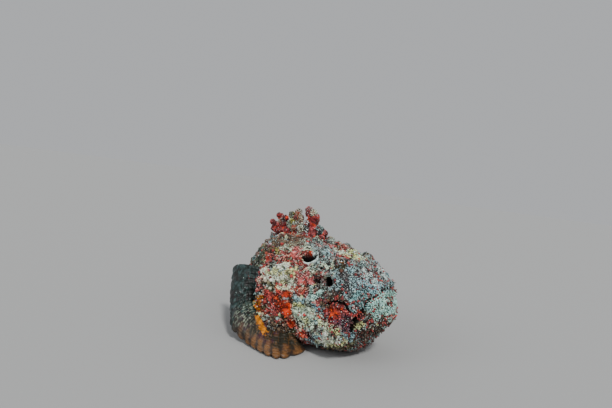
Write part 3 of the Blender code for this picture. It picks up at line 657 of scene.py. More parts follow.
# Clouds of crust in the order they are laid: colour, size, seed, octaves, the noise where they start and are
# full, and cover
cloudsBelow = (
    ("brown", 34, 11, 3, -0.1, 0.6, 1), ("lilac", 26, 12, 3, 0.0, -0.5, 1),
    ("cream", 22, 13, 3, 0.15, 0.4, 1), ("pink", 24, 14, 3, 0.34, 0.5, 0.8),
    ("olive", 20, 15, 3, 0.3, 0.6, 1), ("coral", 16, 16, 3, 0.46, 0.56, 1),
)
cloudsOnRed = (
    ("cream", 6, 44, 3, 0.3, 0.5, 0.5), ("orange", 9, 42, 2, 0.15, 0.45, 0.35),
    ("pink", 7, 43, 2, 0.15, 0.45, 0.6),
)
cloudsOnCream = (("lemon", 9, 45, 3, 0.0, 0.4, 0.65),)
cloudsOnMost = (("dark red", 5, 23, 3, 0.3, 0.55, 0.75),)
# Dark teal on the flank behind the head: partly its own colour, partly painted shade.
flankShadeClouds = (("dark teal", 30, 24, 3, -0.9, 0.1, 0.7),)
flank = (128, 150)  # distances back where the flank's clouds start and are full
redSpots = {"size": 6.0, "seed": 41, "reach": 0.26, "share": 0.14}


def crustOf(points):
    # The crust at points of the skin: granule colour, ground colour and crowding.
    bent = points + 3.2 * cloudVectors(points, 9, 301, 3)
    rough = cloud(points, 7, 21, 3) * 0.6 + cloud(points, 2.6, 22, 2) * 0.4
    crust = np.broadcast_to(shades["grey"], (len(points), 7))
    crust = layClouds(crust, bent, cloudsBelow)
    for centre, reach, name, cover in patches.values():
        away = np.linalg.norm((onLeft(points) - np.array(centre)) / np.array(reach), axis=-1)
        crust = lay(crust, name, cover * smoothstep(1.2, 0.8, away + rough))
    spots, own = nodules(points, redSpots["size"], redSpots["seed"])
    spotted = (spots < redSpots["reach"] + 0.12 * rough) * (own > 1 - redSpots["share"])
    crust = lay(crust, "coral", 0.85 * spotted)
    # The next clouds lie only where the crust so far is red, where it's cream, or where it isn't orange.
    red, green, blue = crust[:, :3].T
    reddish = smoothstep(1.6, 2.6, red / green) * smoothstep(0.2, 0.4, red)
    notOrange = smoothstep(0.003, 0.012, blue)
    crust = layClouds(crust, points, cloudsOnRed, reddish * notOrange)
    red, green, blue = crust[:, :3].T
    creamy = smoothstep(1.2, 1.35, green / blue) * smoothstep(0.6, 0.8, green)
    crust = layClouds(crust, points, cloudsOnCream, creamy)
    red, green, blue = crust[:, :3].T
    notOrange, notPalest = smoothstep(0.003, 0.012, blue), 1 - 0.8 * smoothstep(0.75, 0.95, green)
    crust = layClouds(crust, points, cloudsOnMost, notOrange * notPalest)
    # Painted shade on the flank behind the head, partly its own dark teal.
    crust = layClouds(crust, bent, flankShadeClouds, smoothstep(*flank, -points[:, 0]))
    return lay(crust, "brown", 0.7 * smoothstep(14, 4, points[:, 2]))


# The skin of head, jaw, trunk and tail stalk. Lumps have size, seed, edge, least height and spread of height.
skin = {
    "headStep": 0.78, "trunkStep": 1.0, "around": 480, "sunk": 0.7,
    "lumps": (8.5, 61, 0.6, 0.2), "lumpHigh": 2.3, "smallLumps": (3.6, 71, 0.64, 0.3, 0.9), "smallHigh": 1.1,
}
mouth = {
    "halfWidth": 47.0, "cornerHeight": 40.0, "topHeight": 81.0, "roundness": 2.5, "back": -34.0,
    "wide": (1.1, 2.6), "deep": (3.2, 9.0), "lip": 2.8, "lipFrom": 4.6,
}
slit = {
    "place": (-79, 42, 100.5), "half": (7.4, 2.2), "depth": 12.0,
    "along": (0.89, -0.39, 0.22), "out": (0.23, 0.82, 0.52), "within": 16,
}
holes = {  # place, radius, depth and height of the rim
    "hole below the eye": ((-46, 46.5, 82), 5.0, 11.0, 1.0),
    "pore": ((-59, 45, 94), 1.3, 2.5, 0.4),
    "nostril": ((-13, 22, 94), 1.3, 4.0, 2.0),
    "rear nostril": ((-24, 28, 99), 1.2, 3.5, 1.8),
}
creases = {  # places along it, half width and depth
    "groove under the red bumps": (((-61, 55, 80), (-56, 52, 81), (-48, 49, 81)), 2.0, 5.0),
    "ledge over the upper jaw": (((-37, 60, 64), (-30, 57, 68), (-22, 54, 67), (-16, 51, 61)), 1.6, 4.0),
    "edge of the gill cover": (
        ((-126, 46, 100), (-128, 60, 86), (-127, 66, 66), (-123, 66, 48), (-112, 62, 30), (-98, 54, 16)),
        1.8, 3.5,
    ),
    "fold of the throat": (((-48, 58, 36), (-56, 56, 24), (-68, 46, 12)), 1.4, 2.5),
}
knobs = {"seed": 5, "count": 34, "radius": (2.6, 4.6), "apart": 12, "fromEye": 17, "fromCut": 9}


def lineGap(points, line):
    # Distance from each point to a line of samples, and which sample is nearest.
    gap, nearest = np.full(len(points), 99.0), np.zeros(len(points), int)
    for start in range(0, len(points), 20000):
        away = np.linalg.norm(points[start : start + 20000, None] - line[None], axis=-1)
        nearest[start : start + 20000] = away.argmin(1)
        gap[start : start + 20000] = away.min(1)
    return gap, nearest


def mouthArch(y):
    roundness = mouth["roundness"]
    rise = np.clip(1 - (np.abs(y) / mouth["halfWidth"]) ** roundness, 0, 1) ** (1 / roundness)
    return ramp((mouth["cornerHeight"], mouth["topHeight"]), rise)


def mouthLine(points):
    # The mouth's arch on the skin: its points, from the left corner over the top to the right one.
    share = np.linspace(-1, 1, 161)
    y = mouth["halfWidth"] * np.sign(share) * (1 - (1 - np.abs(share)) ** 1.6)
    z = mouthArch(y)
    front = points[points[:, 0] > mouth["back"]]
    x = np.array([front[np.hypot(front[:, 1] - a, front[:, 2] - b).argmin(), 0] for a, b in zip(y, z)])
    smooth = np.convolve(np.pad(x, 5, mode="edge"), np.ones(11) / 11, "valid")
    return np.stack([smooth, y, z], axis=-1), share


def mouthRelief(points):
    # The closed mouth: a groove that widens at its corners, between two thick lips, and painted shade in the
    # groove.
    line, share = mouthLine(points)
    height, dark = np.zeros(len(points)), np.zeros(len(points))
    near = np.where((points[:, 0] > mouth["back"] - 12) & (points[:, 2] > 14))[0]
    here = points[near]
    gap, nearest = lineGap(here, line)
    end = np.abs(share[nearest])
    inside = (here[:, 2] < mouthArch(here[:, 1])) & (np.abs(here[:, 1]) < mouth["halfWidth"])
    wide = ramp(mouth["wide"], smoothstep(0.6, 0.97, end))
    deep = ramp(mouth["deep"], smoothstep(0.5, 0.95, end))
    scallops = 1 + 0.35 * np.sin(nearest * 0.55 + 3 * cloud(here, 6, 55, 2))
    rim = mouth["lip"] * scallops * bumpAt(gap, mouth["lipFrom"], 2.6)
    height[near] = np.where(inside, 1.1, 0.9) * rim - deep * plateau(gap, wide)
    # Painted shade: how dark the groove is painted, darker towards the corners.
    dark[near] = plateau(gap, wide * 1.2) * (0.5 + 0.5 * smoothstep(0.5, 0.9, end))
    return height, dark, line


def slitRelief(points, side):
    # The slit behind an eye: the change of height, how dark it is painted as shade, and its broken pale rim.
    normal = unit(sided(slit["out"], side))
    along = sided(slit["along"], side)
    along = unit(along - normal * np.dot(normal, along))
    below = np.cross(normal, along) * side
    away = points - sided(slit["place"], side)
    a, b = away @ along / slit["half"][0], away @ below / slit["half"][1]
    near = np.abs(away @ normal) < slit["within"]
    shape = np.hypot(a, b - 0.15 * (1 - a**2))
    # Distance out from the slit's edge in millimetres
    gap = (shape - 1) * shape / (np.hypot(a / slit["half"][0], b / slit["half"][1]) + 1e-6)
    rim = np.clip(smoothstep(-0.1, 0.5, b) + smoothstep(0.35, 0.8, a), 0, 1) * near
    raised = 2.6 * bumpAt(gap, 2.4, 1.3) * rim + 2.0 * bumpAt(gap, 3.0, 2.0) * (1 - rim)
    height = (raised - slit["depth"] * smoothstep(0.9, -1.2, gap)) * near
    broken = smoothstep(-0.6, -0.2, cloud(points, 4, 45, 2) + 0.5 * np.clip(a, -1, 1))
    pale = smoothstep(0.9, 1.2, gap) * smoothstep(4.3, 3.4, gap) * rim * broken * smoothstep(1.6, 1.35, a)
    # The second value is painted shade inside the slit.
    return height, smoothstep(1.5, 0.8, gap) * near, pale


def pitRelief(points):
    # The slits, the hollows and nostrils, the creases, and the sockets of the eyes in their lids, with
    # painted shade darkening each of them.
    height, dark, pale = np.zeros((3, len(points)))
    for side in (1, -1):
        for total, part in zip((height, dark, pale), slitRelief(points, side)):
            total += part
        for place, radius, deep, edge in holes.values():
            far = np.linalg.norm(points - sided(place, side), axis=-1)
            height += edge * bumpAt(far, radius * 1.6, radius * 0.5)
            height -= deep * smoothstep(radius + 0.8, radius * 0.6, far)
            # Painted shade inside each hole.
            dark += smoothstep(radius + 1.0, radius - 0.4, far)
        for stations, wide, deep in creases.values():
            share = np.linspace(0, 1, len(stations))
            line = np.stack([np.interp(np.linspace(0, 1, 60), share, c) for c in sided(stations, side).T], -1)
            near = np.where(np.abs(points - line.mean(0)).max(-1) < 60)[0]
            gap = lineGap(points[near], line)[0]
            height[near] += -deep * plateau(gap, wide, 2) + 0.5 * deep * bumpAt(gap, wide * 2.6, wide)
            # Painted shade along each crease.
            dark[near] += 0.6 * plateau(gap, wide)
        far = eyeGap(points, side)
        height += eyes["lidHigh"] * bumpAt(far, eyes["lid"], eyes["lidWide"])
        height -= eyes["socketDeep"] * plateau(far, eyes["socket"], 6)
        # Painted shade in the eye's socket.
        dark += 0.5 * plateau(far, eyes["socket"] + 0.2, 6)
    return height, np.clip(dark, 0, 1), np.clip(pale, 0, 1)


def knobPlaces():
    # Feet and sizes of the large knobs on head and back, clear of the fins, eyes and mouth.
    draw = np.random.default_rng(knobs["seed"])
    found = []
    while len(found) < knobs["count"]:
        along = draw.uniform(body["snoutSkin"] * 0.5, body["snoutSkin"] + 190)
        angle = draw.uniform(-0.35, math.pi + 0.35)
        radius = draw.uniform(*knobs["radius"])
        foot = skinPoints(np.array([along]), np.array([angle]))[0]
        back = -foot[0]
        nearCrest = back > spines[0][0] - 16 and abs(foot[1]) < 14
        nearFin = back > 108 and foot[2] < 82
        nearCut = min(abs(back - body[cut]) for cut in ("gillCut", "stalkCut")) < knobs["fromCut"]
        nearEye = np.linalg.norm(np.abs(foot) - np.abs(eyes["skinPlace"])) < knobs["fromEye"]
        nearMouth = back < 30 and foot[2] < mouth["topHeight"] + 12
        crowded = any(np.linalg.norm(foot - other) < knobs["apart"] for other, size in found)
        if not (nearCrest or nearFin or nearCut or nearEye or nearMouth or crowded):
            found.append((foot, radius))
    return found


def knobRelief(points):
    height = np.zeros(len(points))
    for foot, radius in knobPlaces():
        near = np.abs(points[:, 0] - foot[0]) < 9
        far = np.linalg.norm(points[near] - foot, axis=-1)
        height[near] += 0.65 * radius * plateau(far, 1.05 * radius)
    return height


def skinSurface():
    # The whole skin as one grid, with every level of relief down to small nodules.
    around = skin["around"]
    headEnd = body["snoutSkin"] + body["gillCut"] - body["snoutDepth"]
    headRows = np.arange(0.4, headEnd, skin["headStep"])
    rows = np.concatenate([headRows, np.arange(headEnd, skinEnd, skin["trunkStep"])])
    along, angle = np.meshgrid(rows, -math.pi / 2 + fullTurn(around), indexing="ij")
    smooth = smoothBody(along, angle).reshape(-1, 3)
    normals = outward(along, angle).reshape(-1, 3)
    main = smooth + normals * relief(smooth)[:, None]
    mouthHeight, mouthPaintedShade, line = mouthRelief(main)
    pitHeight, pitPaintedShade, pale = pitRelief(main)
    # Painted shade of the mouth and the pits together.
    dark = np.clip(mouthPaintedShade + pitPaintedShade, 0, 1)
    calm = smoothstep(-2, -34, main[:, 0]) * 0.5 + 0.5
    lumps = skin["lumpHigh"] * domes(main, *skin["lumps"])
    lumps += skin["smallHigh"] * domes(main, *skin["smallLumps"])
    fine = lumps * calm + 0.5 * cloud(main, 3.0, 81, 2) + knobRelief(main)
    fine *= (1 - dark) * (1 - 0.8 * pale)
    raised = mouthHeight + pitHeight + fine * smoothstep(0.0, 6.0, main[:, 2]) - skin["sunk"]
    points = main + normals * raised[:, None]
    points[:, 2] = np.maximum(points[:, 2], 0.05)
    gridNormal = gridNormals(points.reshape(len(rows), around, 3), True).reshape(-1, 3)
    flip = np.sign((gridNormal * normals).sum(-1).mean())
    # Painted shade: black is laid where the mouth, slits, holes, creases and sockets are dark. The pale slit
    # rims are laid in white.
    crust = lay(lay(crustOf(main), "white", pale), "black", 1.1 * dark)
    # Painted shade: the skin between granules is darker where the fine relief is low.
    paintedValleyShade = (0.2 + 0.8 * smoothstep(0.0, 2.8, fine))[:, None]
    bare = (dark > 0.3) | (pale > 0.4) | (points[:, 2] < 1.2)
    for side in (1, -1):
        bare |= eyeGap(main, side) < eyes["bare"]
    uv = gridUv(np.arange(around) / around, rows / skinEnd, (0.01, 0.01), (0.99, 0.99), True)
    return {
        "points": points,
        "normals": gridNormal * flip,
        "faces": gridFaces(len(rows), around, True)[:, ::-1],
        "uv": uv[:, ::-1],
        "tint": np.where(pale[:, None] > 0.4, crust[:, :3] * 0.9, crust[:, 3:6] * paintedValleyShade),
        "grain": crust[:, :3],
        "crowd": crust[:, 6] * ~bare,
        "line": line,
        "level": main,
    }


# The coat of granules, and the larger pebbles of crust among them. Speckle is how salt and pepper they are.
granules = {
    "most": 190000, "sides": 5,
    "skin": {"spacing": 1.3, "seed": 502, "size": 1.0, "speckle": 1.0},
    "fins": {"spacing": 1.9, "seed": 801, "size": 0.75, "speckle": 0.6},
    "crest": {"spacing": 1.5, "seed": 602, "size": 0.95, "speckle": 0.45},
}
# The share of the granules at which each odd kind ends, in order
pepper = {"white": 0.10, "darkOnPale": 0.15, "dark": 0.27, "red": 0.30, "redOnRed": 0.42}
pebbles = {
    "spacing": 5.2, "seed": 541, "sides": 9, "radius": (1.0, 2.0), "coral": 0.06, "dull": 0.10, "white": 0.95,
}


def acrossFace(corners, s, t):
    s, t = s[:, None], t[:, None]
    near = corners[:, 0] * (1 - s) * (1 - t) + corners[:, 1] * s * (1 - t)
    return near + corners[:, 2] * s * t + corners[:, 3] * (1 - s) * t


def scattered(surface, spacing, seed, crowd=3.0):
    # Places spread evenly over a surface of quads, at most one for each cell of the given size, and fewer
    # where the surface's crowding says so.
    draw = np.random.default_rng(seed)
    corners = surface["points"][surface["faces"]]
    across = np.cross(corners[:, 2] - corners[:, 0], corners[:, 3] - corners[:, 1])
    area = np.linalg.norm(across, axis=-1) / 2
    count = int(crowd * area.sum() / spacing**2)
    face = np.searchsorted(np.cumsum(area) / area.sum(), draw.random(count)).clip(0, len(area) - 1)
    s, t = draw.random(count), draw.random(count)
    cell = np.floor(acrossFace(corners[face], s, t) / spacing).astype(np.int64)
    kept = np.unique((cell[:, 0] * 4001 + cell[:, 1]) * 4001 + cell[:, 2], return_index=True)[1]
    face, s, t = face[kept], s[kept], t[kept]
    crowding = acrossFace(surface["crowd"][surface["faces"][face]][..., None], s, t)[:, 0]
    standing = draw.random(len(face)) < crowding
    face, s, t = face[standing], s[standing], t[standing]
    keys = ("points", "normals", "grain")
    made = {key: acrossFace(surface[key][surface["faces"][face]], s, t) for key in keys}
    made["normals"] = unit(made["normals"])
    made["uv"] = acrossFace(surface["uv"][face], s, t)
    return made


def crossFrames(normals):
    # Two directions square to each normal.
    helper = np.where(np.abs(normals[:, 2:3]) < 0.9, [[0.0, 0.0, 1.0]], [[1.0, 0.0, 0.0]])
    side = unit(np.cross(normals, helper))
    return side, np.cross(normals, side)


def stubs(places, profile, sides, tint, paintedRingShade, draw, lean=0.0):
    # Small solids of revolution, open below, one at each place. The profile gives the radius and height of
    # each ring and ends in a point; lean bends the rings sideways by the square of their height.
    # paintedRingShade scales each ring's tint: painted shade at the foot and painted light towards the top.
    count, rings = len(places["points"]), len(profile) - 1
    side, front = crossFrames(places["normals"])
    turn = draw.uniform(0, 2 * math.pi, count)[:, None] + fullTurn(sides)
    spread = 1 + draw.uniform(-0.2, 0.2, (count, sides))
    ring = swung(side[:, None], front[:, None], turn) * spread[..., None]
    base, up = places["points"][:, None], places["normals"][:, None]
    lean = np.broadcast_to(lean, (count, 3))[:, None]
    levels = []
    for radius, height in profile:
        middle = base + up * height[:, None, None] + lean * (height**2 * np.sign(height))[:, None, None]
        levels.append(middle + ring * radius[:, None, None])
    levels[-1] = middle
    step = np.arange(sides)
    after = (step + 1) % sides
    faces = []
    for low in range(0, (rings - 1) * sides, sides):
        high = low + sides
        faces.append(np.stack([low + step, low + after, high + after], axis=-1))
        faces.append(np.stack([low + step, high + after, high + step], axis=-1))
    top = (rings - 1) * sides
    faces.append(np.stack([top + step, top + after, np.full(sides, rings * sides)], axis=-1))
    faces = np.concatenate(faces)
    each = rings * sides + 1
    spot = np.stack([np.cos(fullTurn(sides)), np.sin(fullTurn(sides))], axis=-1)
    spots = np.concatenate([spot * (1 - level / rings) for level in range(rings)] + [np.zeros((1, 2))])
    pointUv = places["uv"][:, None] + 0.0015 * spots[None]
    # Painted shade and light: each ring's tint is scaled by its own factor.
    bright = np.append(np.repeat(paintedRingShade[:-1], sides), paintedRingShade[-1])
    return {
        "points": np.concatenate(levels, axis=1).reshape(-1, 3),
        "faces": (np.arange(count)[:, None, None] * each + faces[None]).reshape(-1, 3),
        "uv": pointUv[:, faces].reshape(-1, 3, 2),
        "tint": (tint[:, None] * bright[None, :, None]).reshape(-1, 3),
        "each": (each, len(faces)),
    }


def granuleTints(base, draw, speckle):
    # Most granules keep the patch's colour, some are white, some dark, and some red, more where it's red.
    kind = draw.random(len(base))[:, None] / speckle
    reddish = (base[:, :1] > 1.8 * base[:, 1:2]) & (base[:, :1] > 0.25)
    pale = base[:, 1:2] > 0.7
    tint = base * ramp((np.where(pale, 0.8, 0.5), 1.4), draw.random(len(base))[:, None])
    tint = np.where(kind < pepper["white"], 0.35 * tint + grainOf("white", 0.6), tint)
    dark = kind < np.where(pale, pepper["darkOnPale"], pepper["dark"])
    tint = np.where((kind > pepper["white"]) & dark, tint * 0.14, tint)
    red = kind < np.where(reddish, pepper["redOnRed"], pepper["red"])
    redTint = np.where(reddish, grainOf("coral"), grainOf("rose", 0.5))
    return np.clip(np.where((kind > pepper["dark"]) & red, redTint, tint), 0, 0.95)


def granulesOn(surface, kind, number=0):
    made = granules[kind]
    draw = np.random.default_rng(made["seed"] + number)
    places = scattered(surface, made["spacing"], made["seed"] + number)
    coarse = np.clip(cloud(places["points"], 16, 511, 2) * 0.5 + 0.75, 0.35, 1.3)
    wide = made["size"] * (0.42 + 0.36 * coarse * draw.uniform(0.4, 1.3, len(coarse)))
    high = wide * draw.uniform(0.55, 1.3, len(coarse))
    profile = [(wide, -0.35 * wide), (0.85 * wide, 0.6 * high), (wide, high)]
    tint = granuleTints(places["grain"], draw, made["speckle"])
    # Painted shade at the foot of each granule and painted light towards its top.
    return stubs(places, profile, granules["sides"], tint, [0.3, 0.9, 1.15], draw)


def pebblesOn(surface):
    # Larger lumps of crust: many dull red ones on the snout, and elsewhere mostly of the patch's own colour.
    draw = np.random.default_rng(pebbles["seed"])
    places = scattered(surface, pebbles["spacing"], pebbles["seed"])
    count = len(places["points"])
    kind, snout = draw.random((count, 1)), smoothstep(-62, -20, places["points"][:, :1])
    radius = draw.uniform(*pebbles["radius"], count) * (1 - 0.15 * snout[:, 0])
    tint = places["grain"] * draw.uniform(0.7, 1.15, (count, 1))
    tint = np.where(kind < pebbles["coral"], grainOf("coral") * draw.uniform(0.4, 0.9, (count, 1)), tint)
    dull = (kind > pebbles["coral"]) & (kind < pebbles["dull"] + 0.4 * snout)
    tint = np.where(dull, grainOf("rose") * draw.uniform(0.25, 0.7, (count, 1)), tint)
    palest = (kind > pebbles["white"]) & (places["grain"][:, 1:2] > 0.35)
    tint = np.clip(np.where(palest, grainOf("white", 0.8), tint), 0, 0.9)
    high = radius * draw.uniform(0.45, 0.95, count)
    profile = [(radius, -0.4 * radius), (radius, 0.35 * high), (0.72 * radius, 0.82 * high), (radius, high)]
    # Painted shade at the foot of each pebble and painted light towards its top.
    made = stubs(places, profile, pebbles["sides"], tint, [0.3, 0.7, 1.0, 1.1], draw)
    made["points"] += 0.35 * cloudVectors(made["points"], 1.8, pebbles["seed"], 2)
    return made


def coatPieces(name, coat, material, place=toFrame):
    # Splits a coat into pieces of a limited size and makes an object of each.
    points, triangles = coat["each"]
    most = granules["most"] // triangles
    count = len(coat["faces"]) // triangles
    for number, start in enumerate(range(0, count, most)):
        end = min(start + most, count)
        ownPoints, ownFaces = slice(start * points, end * points), slice(start * triangles, end * triangles)
        piece = {key: coat[key][ownPoints] for key in ("points", "tint")}
        piece.update({key: coat[key][ownFaces] for key in ("faces", "uv")})
        piece["faces"] = piece["faces"] - start * points
        meshOf(f"{name}_{number + 1}", piece, material, place=place)


# Fleshy points on lips, chin, gill cover and the lumps of the jaw: place, reach and how closely they stand
papillae = {
    "spacing": 2.2, "seed": 561, "sides": 5, "length": (1.3, 2.8), "radius": (0.5, 0.85),
    "places": {
        "under the jaw": ((-32, 50, 22), (13, 14, 12), 0.8),
        "chin": ((-4, 24, 34), (16, 26, 12), 0.3),
        "gill cover edge": ((-119, 63, 60), (5, 12, 34), 0.3),
        "lower cheek": ((-62, 56, 34), (18, 12, 14), 0.4),
        "upper jaw": ((-34, 56, 60), (8, 10, 6), 0.3),
        "brow": ((-70, 34, 116), (16, 8, 6), 0.3),
    },
}


def papillaeOn(surface):
    draw = np.random.default_rng(papillae["seed"])
    level = surface["level"]
    crowd = 0.015 * np.ones(len(level))
    for centre, reach, share in papillae["places"].values():
        crowd = np.maximum(crowd, share * bump(onLeft(level), centre, reach))
    near = np.where(level[:, 0] > mouth["back"] - 10)[0]
    gap = lineGap(level[near], surface["line"])[0]
    crowd[near] = np.maximum(crowd[near], 0.55 * bumpAt(gap, 4.8, 2.0))
    crowded = {**surface, "crowd": crowd * (surface["crowd"] > 0)}
    places = scattered(crowded, papillae["spacing"], papillae["seed"])
    count = len(places["points"])
    length, radius = draw.uniform(*papillae["length"], count), draw.uniform(*papillae["radius"], count)
    lean = (draw.normal(0, 0.5, (count, 3)) + np.array([0, 0, -0.35])) / length[:, None] * 0.5
    shares = ((1.3, -0.15), (0.9, 0.25), (0.75, 0.5), (0.85, 0.78), (0.5, 0.93), (0, 1.0))
    profile = [(wide * radius, up * length) for wide, up in shares]
    tint = np.clip(places["grain"] * draw.uniform(0.8, 1.25, count)[:, None], 0, 0.95)
    # Painted shade at the foot of each papilla and painted light towards its tip.
    return stubs(places, profile, papillae["sides"], tint, [0.3, 0.5, 0.75, 0.95, 1.05, 1.1], draw, lean)


def ballSurface(centre, axis, radius, rows, columns):
    # A ball whose pole looks along the axis, with the share of the way from that pole.
    down, turn = np.linspace(0.001, math.pi - 0.001, rows), fullTurn(columns)
    side, front = (found[0] for found in crossFrames(np.array([axis])))
    tilt, spin = np.meshgrid(down, turn, indexing="ij")
    points = axis * np.cos(tilt)[..., None] + swung(side, front, spin) * np.sin(tilt)[..., None]
    return {
        "points": centre + radius * points.reshape(-1, 3),
        "normals": points.reshape(-1, 3),
        "faces": gridFaces(rows, columns, True),
        "uv": gridUv(turn / (2 * math.pi), down / math.pi, (0.02, 0.02), (0.98, 0.98), True),
        "share": (tilt / math.pi).ravel(),
        "spin": spin.ravel(),
    }


def eyePiece(side, name, material):
    # An eyeball: angles from its pole give the pupil, an amber ring, a mottled iris and a dark surround.
    axis = unit(eyeAxes[side] + np.array([0.25, 0.1 * side, -0.1]))
    surface = ballSurface(eyeCentres[side], axis, eyes["radius"] - 0.05, 40, 64)
    angle = surface["share"] * 180
    mottle = cloud(surface["points"], 1.3, 91, 3)
    iris = blendOf(groundOf("brown"), grainOf("grey"), smoothstep(-0.1, 0.6, mottle))
    iris = iris * (0.7 + 0.3 * np.cos(surface["spin"] * 26 + 3 * mottle))[:, None]
    tint = blendOf(iris, grainOf("amber", 0.6), 0.7 * bumpAt(angle, 26, 3.0))
    tint = blendOf(tint, grainOf("dark red"), smoothstep(50, 62, angle))
    surface["tint"] = blendOf(tint, np.array([0.004, 0.004, 0.006]), smoothstep(24, 20, angle))
    meshOf(name, surface, material, (name,))


# Fins
def lineThrough(*stations):
    # A smooth line through points at shares of its length.
    def place(u):
        columns = [through([(share, spot[axis]) for share, spot in stations], u) for axis in range(3)]
        return np.stack(columns, axis=-1)

    return place


def skinLine(*stations, sunk=8.0):
    # A line just under the skin, through distances back and angles in degrees at shares of its length.
    def place(u):
        back = through([(s[0], s[1]) for s in stations], u)
        angle = np.radians(through([(s[0], s[2]) for s in stations], u))
        along = back - body["snoutDepth"] + body["snoutSkin"]
        return smoothBody(along, angle) - outward(along, angle) * sunk

    return place


# What each fin has unless its own values say otherwise, and the two halves of its unwrap. groove is how
# dark the web between the rays is painted, as painted shade.
finShape = {"perRay": 12, "sharp": 1.4, "scallop": 0.07, "joints": 14, "lumpy": 0.5, "groove": 0.5}
finIslands = {1: ((0.01, 0.01), (0.49, 0.99)), -1: ((0.51, 0.01), (0.99, 0.99))}


def finSurface(fin, colourOf):
    # A fin of fleshy rays with a web between them, as two grids that meet at the edge.
    fin = {**finShape, **fin}
    rays, rows, groove = fin["rays"], fin["rows"], fin["groove"]
    share, down = np.linspace(0, 1, rays * fin["perRay"] + 1), np.linspace(0, 1, rows)
    v, u = np.meshgrid(down, share, indexing="ij")
    ray = (np.cos((u * rays - 0.5) * 2 * math.pi) * 0.5 + 0.5) ** fin["sharp"]
    at = v * (1 - fin["scallop"] * (1 - ray**0.6) * v**3)

    def place(u, v):
        a, b, c = fin["root"](u), fin["middle"](u), fin["tip"](u)
        v = v[..., None]
        return (1 - v) ** 2 * a + 2 * v * (1 - v) * b + v**2 * c

    step = 1e-3
    points = place(u, at)
    low, high = np.clip(u - step, 0, 1), np.clip(u + step, 0, 1)
    normal = unit(np.cross(place(high, at) - place(low, at), place(u, at + step) - place(u, at - step)))
    thick = ramp(fin["thick"], at**0.8) * ramp((fin["web"], 1), ray)
    knuckle = 1 + 0.10 * np.cos(at * fin["joints"] * 2 * math.pi + u * 9) * ray
    tipBulge = 1 + 0.35 * bumpAt(v, 0.95, 0.05)
    lumpy = 0.5 * fin["lumpy"] * cloud(points.reshape(-1, 3), 3.2, 151, 3).reshape(v.shape)
    edge = np.clip((1 - v) / 0.035, 0, 1) ** 0.5 * np.clip(np.minimum(u, 1 - u) / 0.012, 0, 1) ** 0.5
    depth = np.maximum((thick * knuckle * tipBulge + lumpy) * edge, 0.02)
    sheets = {way: points + normal * (way * depth / 2)[..., None] for way in finIslands}
    under = np.maximum(-np.minimum(sheets[1][..., 2], sheets[-1][..., 2]), 0)
    faces = gridFaces(rows, len(share), False)
    made = []
    for way, sheet in sheets.items():
        sheet[..., 2] += under
        flat = sheet.reshape(-1, 3)
        tint, crowd = colourOf(flat, u.ravel(), v.ravel(), ray.ravel())
        normals = (gridNormals(sheet, False) * way).reshape(-1, 3)
        order = slice(None) if way < 0 else slice(None, None, -1)  # the two sheets face opposite ways
        made.append({
            "points": flat,
            "normals": normals * np.sign((normals * (normal * way).reshape(-1, 3)).sum(-1).mean()),
            "faces": faces[:, order],
            "uv": gridUv(share, down, *finIslands[way], False)[:, order],
            # Painted shade: the web between the rays is darker by the groove factor.
            "tint": tint * ramp((groove, 1), ray.ravel())[:, None],
            "grain": tint * 1.3,
            "crowd": crowd * (flat[:, 2] > 1.0),
        })
    return joined(made)


amberPatch = {"from": (-114, 70, 27), "to": (-100, 78, 17), "reach": (4.0, 2.8)}


def pectoralColour(points, u, v, ray):
    # A dark teal wall with upright streaks above, partly its own colour and partly painted shade, olive and
    # mauve below, broad orange brown lobes along the floor, partly ochre and partly lighter on their ray
    # crests as painted light, pale streaks between, and an amber patch darker between the rays as painted
    # shade. Beside the colour it gives the crowding of granules.
    broken, fine = cloud(points, 9, 161, 3), cloud(points, 2.4, 162, 3)
    upright = cloud(points * (1, 1, 0.22), 1.7, 166, 3)
    wall = smoothstep(-0.3, 0.4, upright + 0.4 * broken)
    mauve = 0.5 * smoothstep(0.3, 0.55, cloud(points * (1, 1, 0.5), 5, 163, 3))
    # Painted shade: the wall's teal is darkened to a small share of its own colour.
    upper = blendOf(grainOf("dark teal", 0.26), groundOf("dark teal", 0.4), wall)
    upper = blendOf(upper, grainOf("teal", 0.13), smoothstep(0.15, 0.75, -upright - 0.3 * broken))
    upper = blendOf(upper, groundOf("dark red", 1.5), mauve)
    lower = blendOf(groundOf("olive", 1.1), groundOf("purple", 1.5), smoothstep(-0.2, 0.5, broken))
    colour = blendOf(upper, lower, smoothstep(0.45, 0.6, u + 0.10 * broken + 0.15 * (v - 0.5)))
    along = cloud(np.stack([u * 230, v * 22, 0 * u], axis=-1), 1.5, 164, 3)
    streaks = smoothstep(0.1, 0.6, along + 0.3 * broken) * smoothstep(0.95, 0.7, v)
    streaks = streaks * smoothstep(0.38, 0.52, u)
    pale = blendOf(grainOf("cream", 0.55), grainOf("ochre", 0.8), smoothstep(0.5, 0.7, u))
    colour = blendOf(colour, pale, 0.6 * streaks)
    edge = smoothstep(0.6, 0.88, v + 0.08 * ray + 0.05 * fine + 0.05 * broken) * smoothstep(0.42, 0.6, u)
    # Partly ochre of its own, partly painted light: the lobes are lighter on the crests of their rays.
    dapple = smoothstep(0.0, 1.0, ray + 0.35 * fine + 0.35 * cloud(points, 5, 167, 3))
    lobes = blendOf(groundOf("brown", 1.2), grainOf("ochre"), dapple * smoothstep(0.4, 0.7, u))
    colour = blendOf(colour, lobes, edge)
    gap = lineGap(onLeft(points), np.linspace(amberPatch["from"], amberPatch["to"], 12))[0]
    amber = smoothstep(*amberPatch["reach"], gap + 1.8 * fine + 1.2 * broken)
    crowd = 0.3 * (1 - amber) * smoothstep(0.75, 0.5, v) * smoothstep(0.75, 0.45, u)
    # Painted shade: the amber is darker between the rays.
    return blendOf(colour, grainOf("amber") * (0.5 + 0.35 * ray)[:, None], amber), crowd


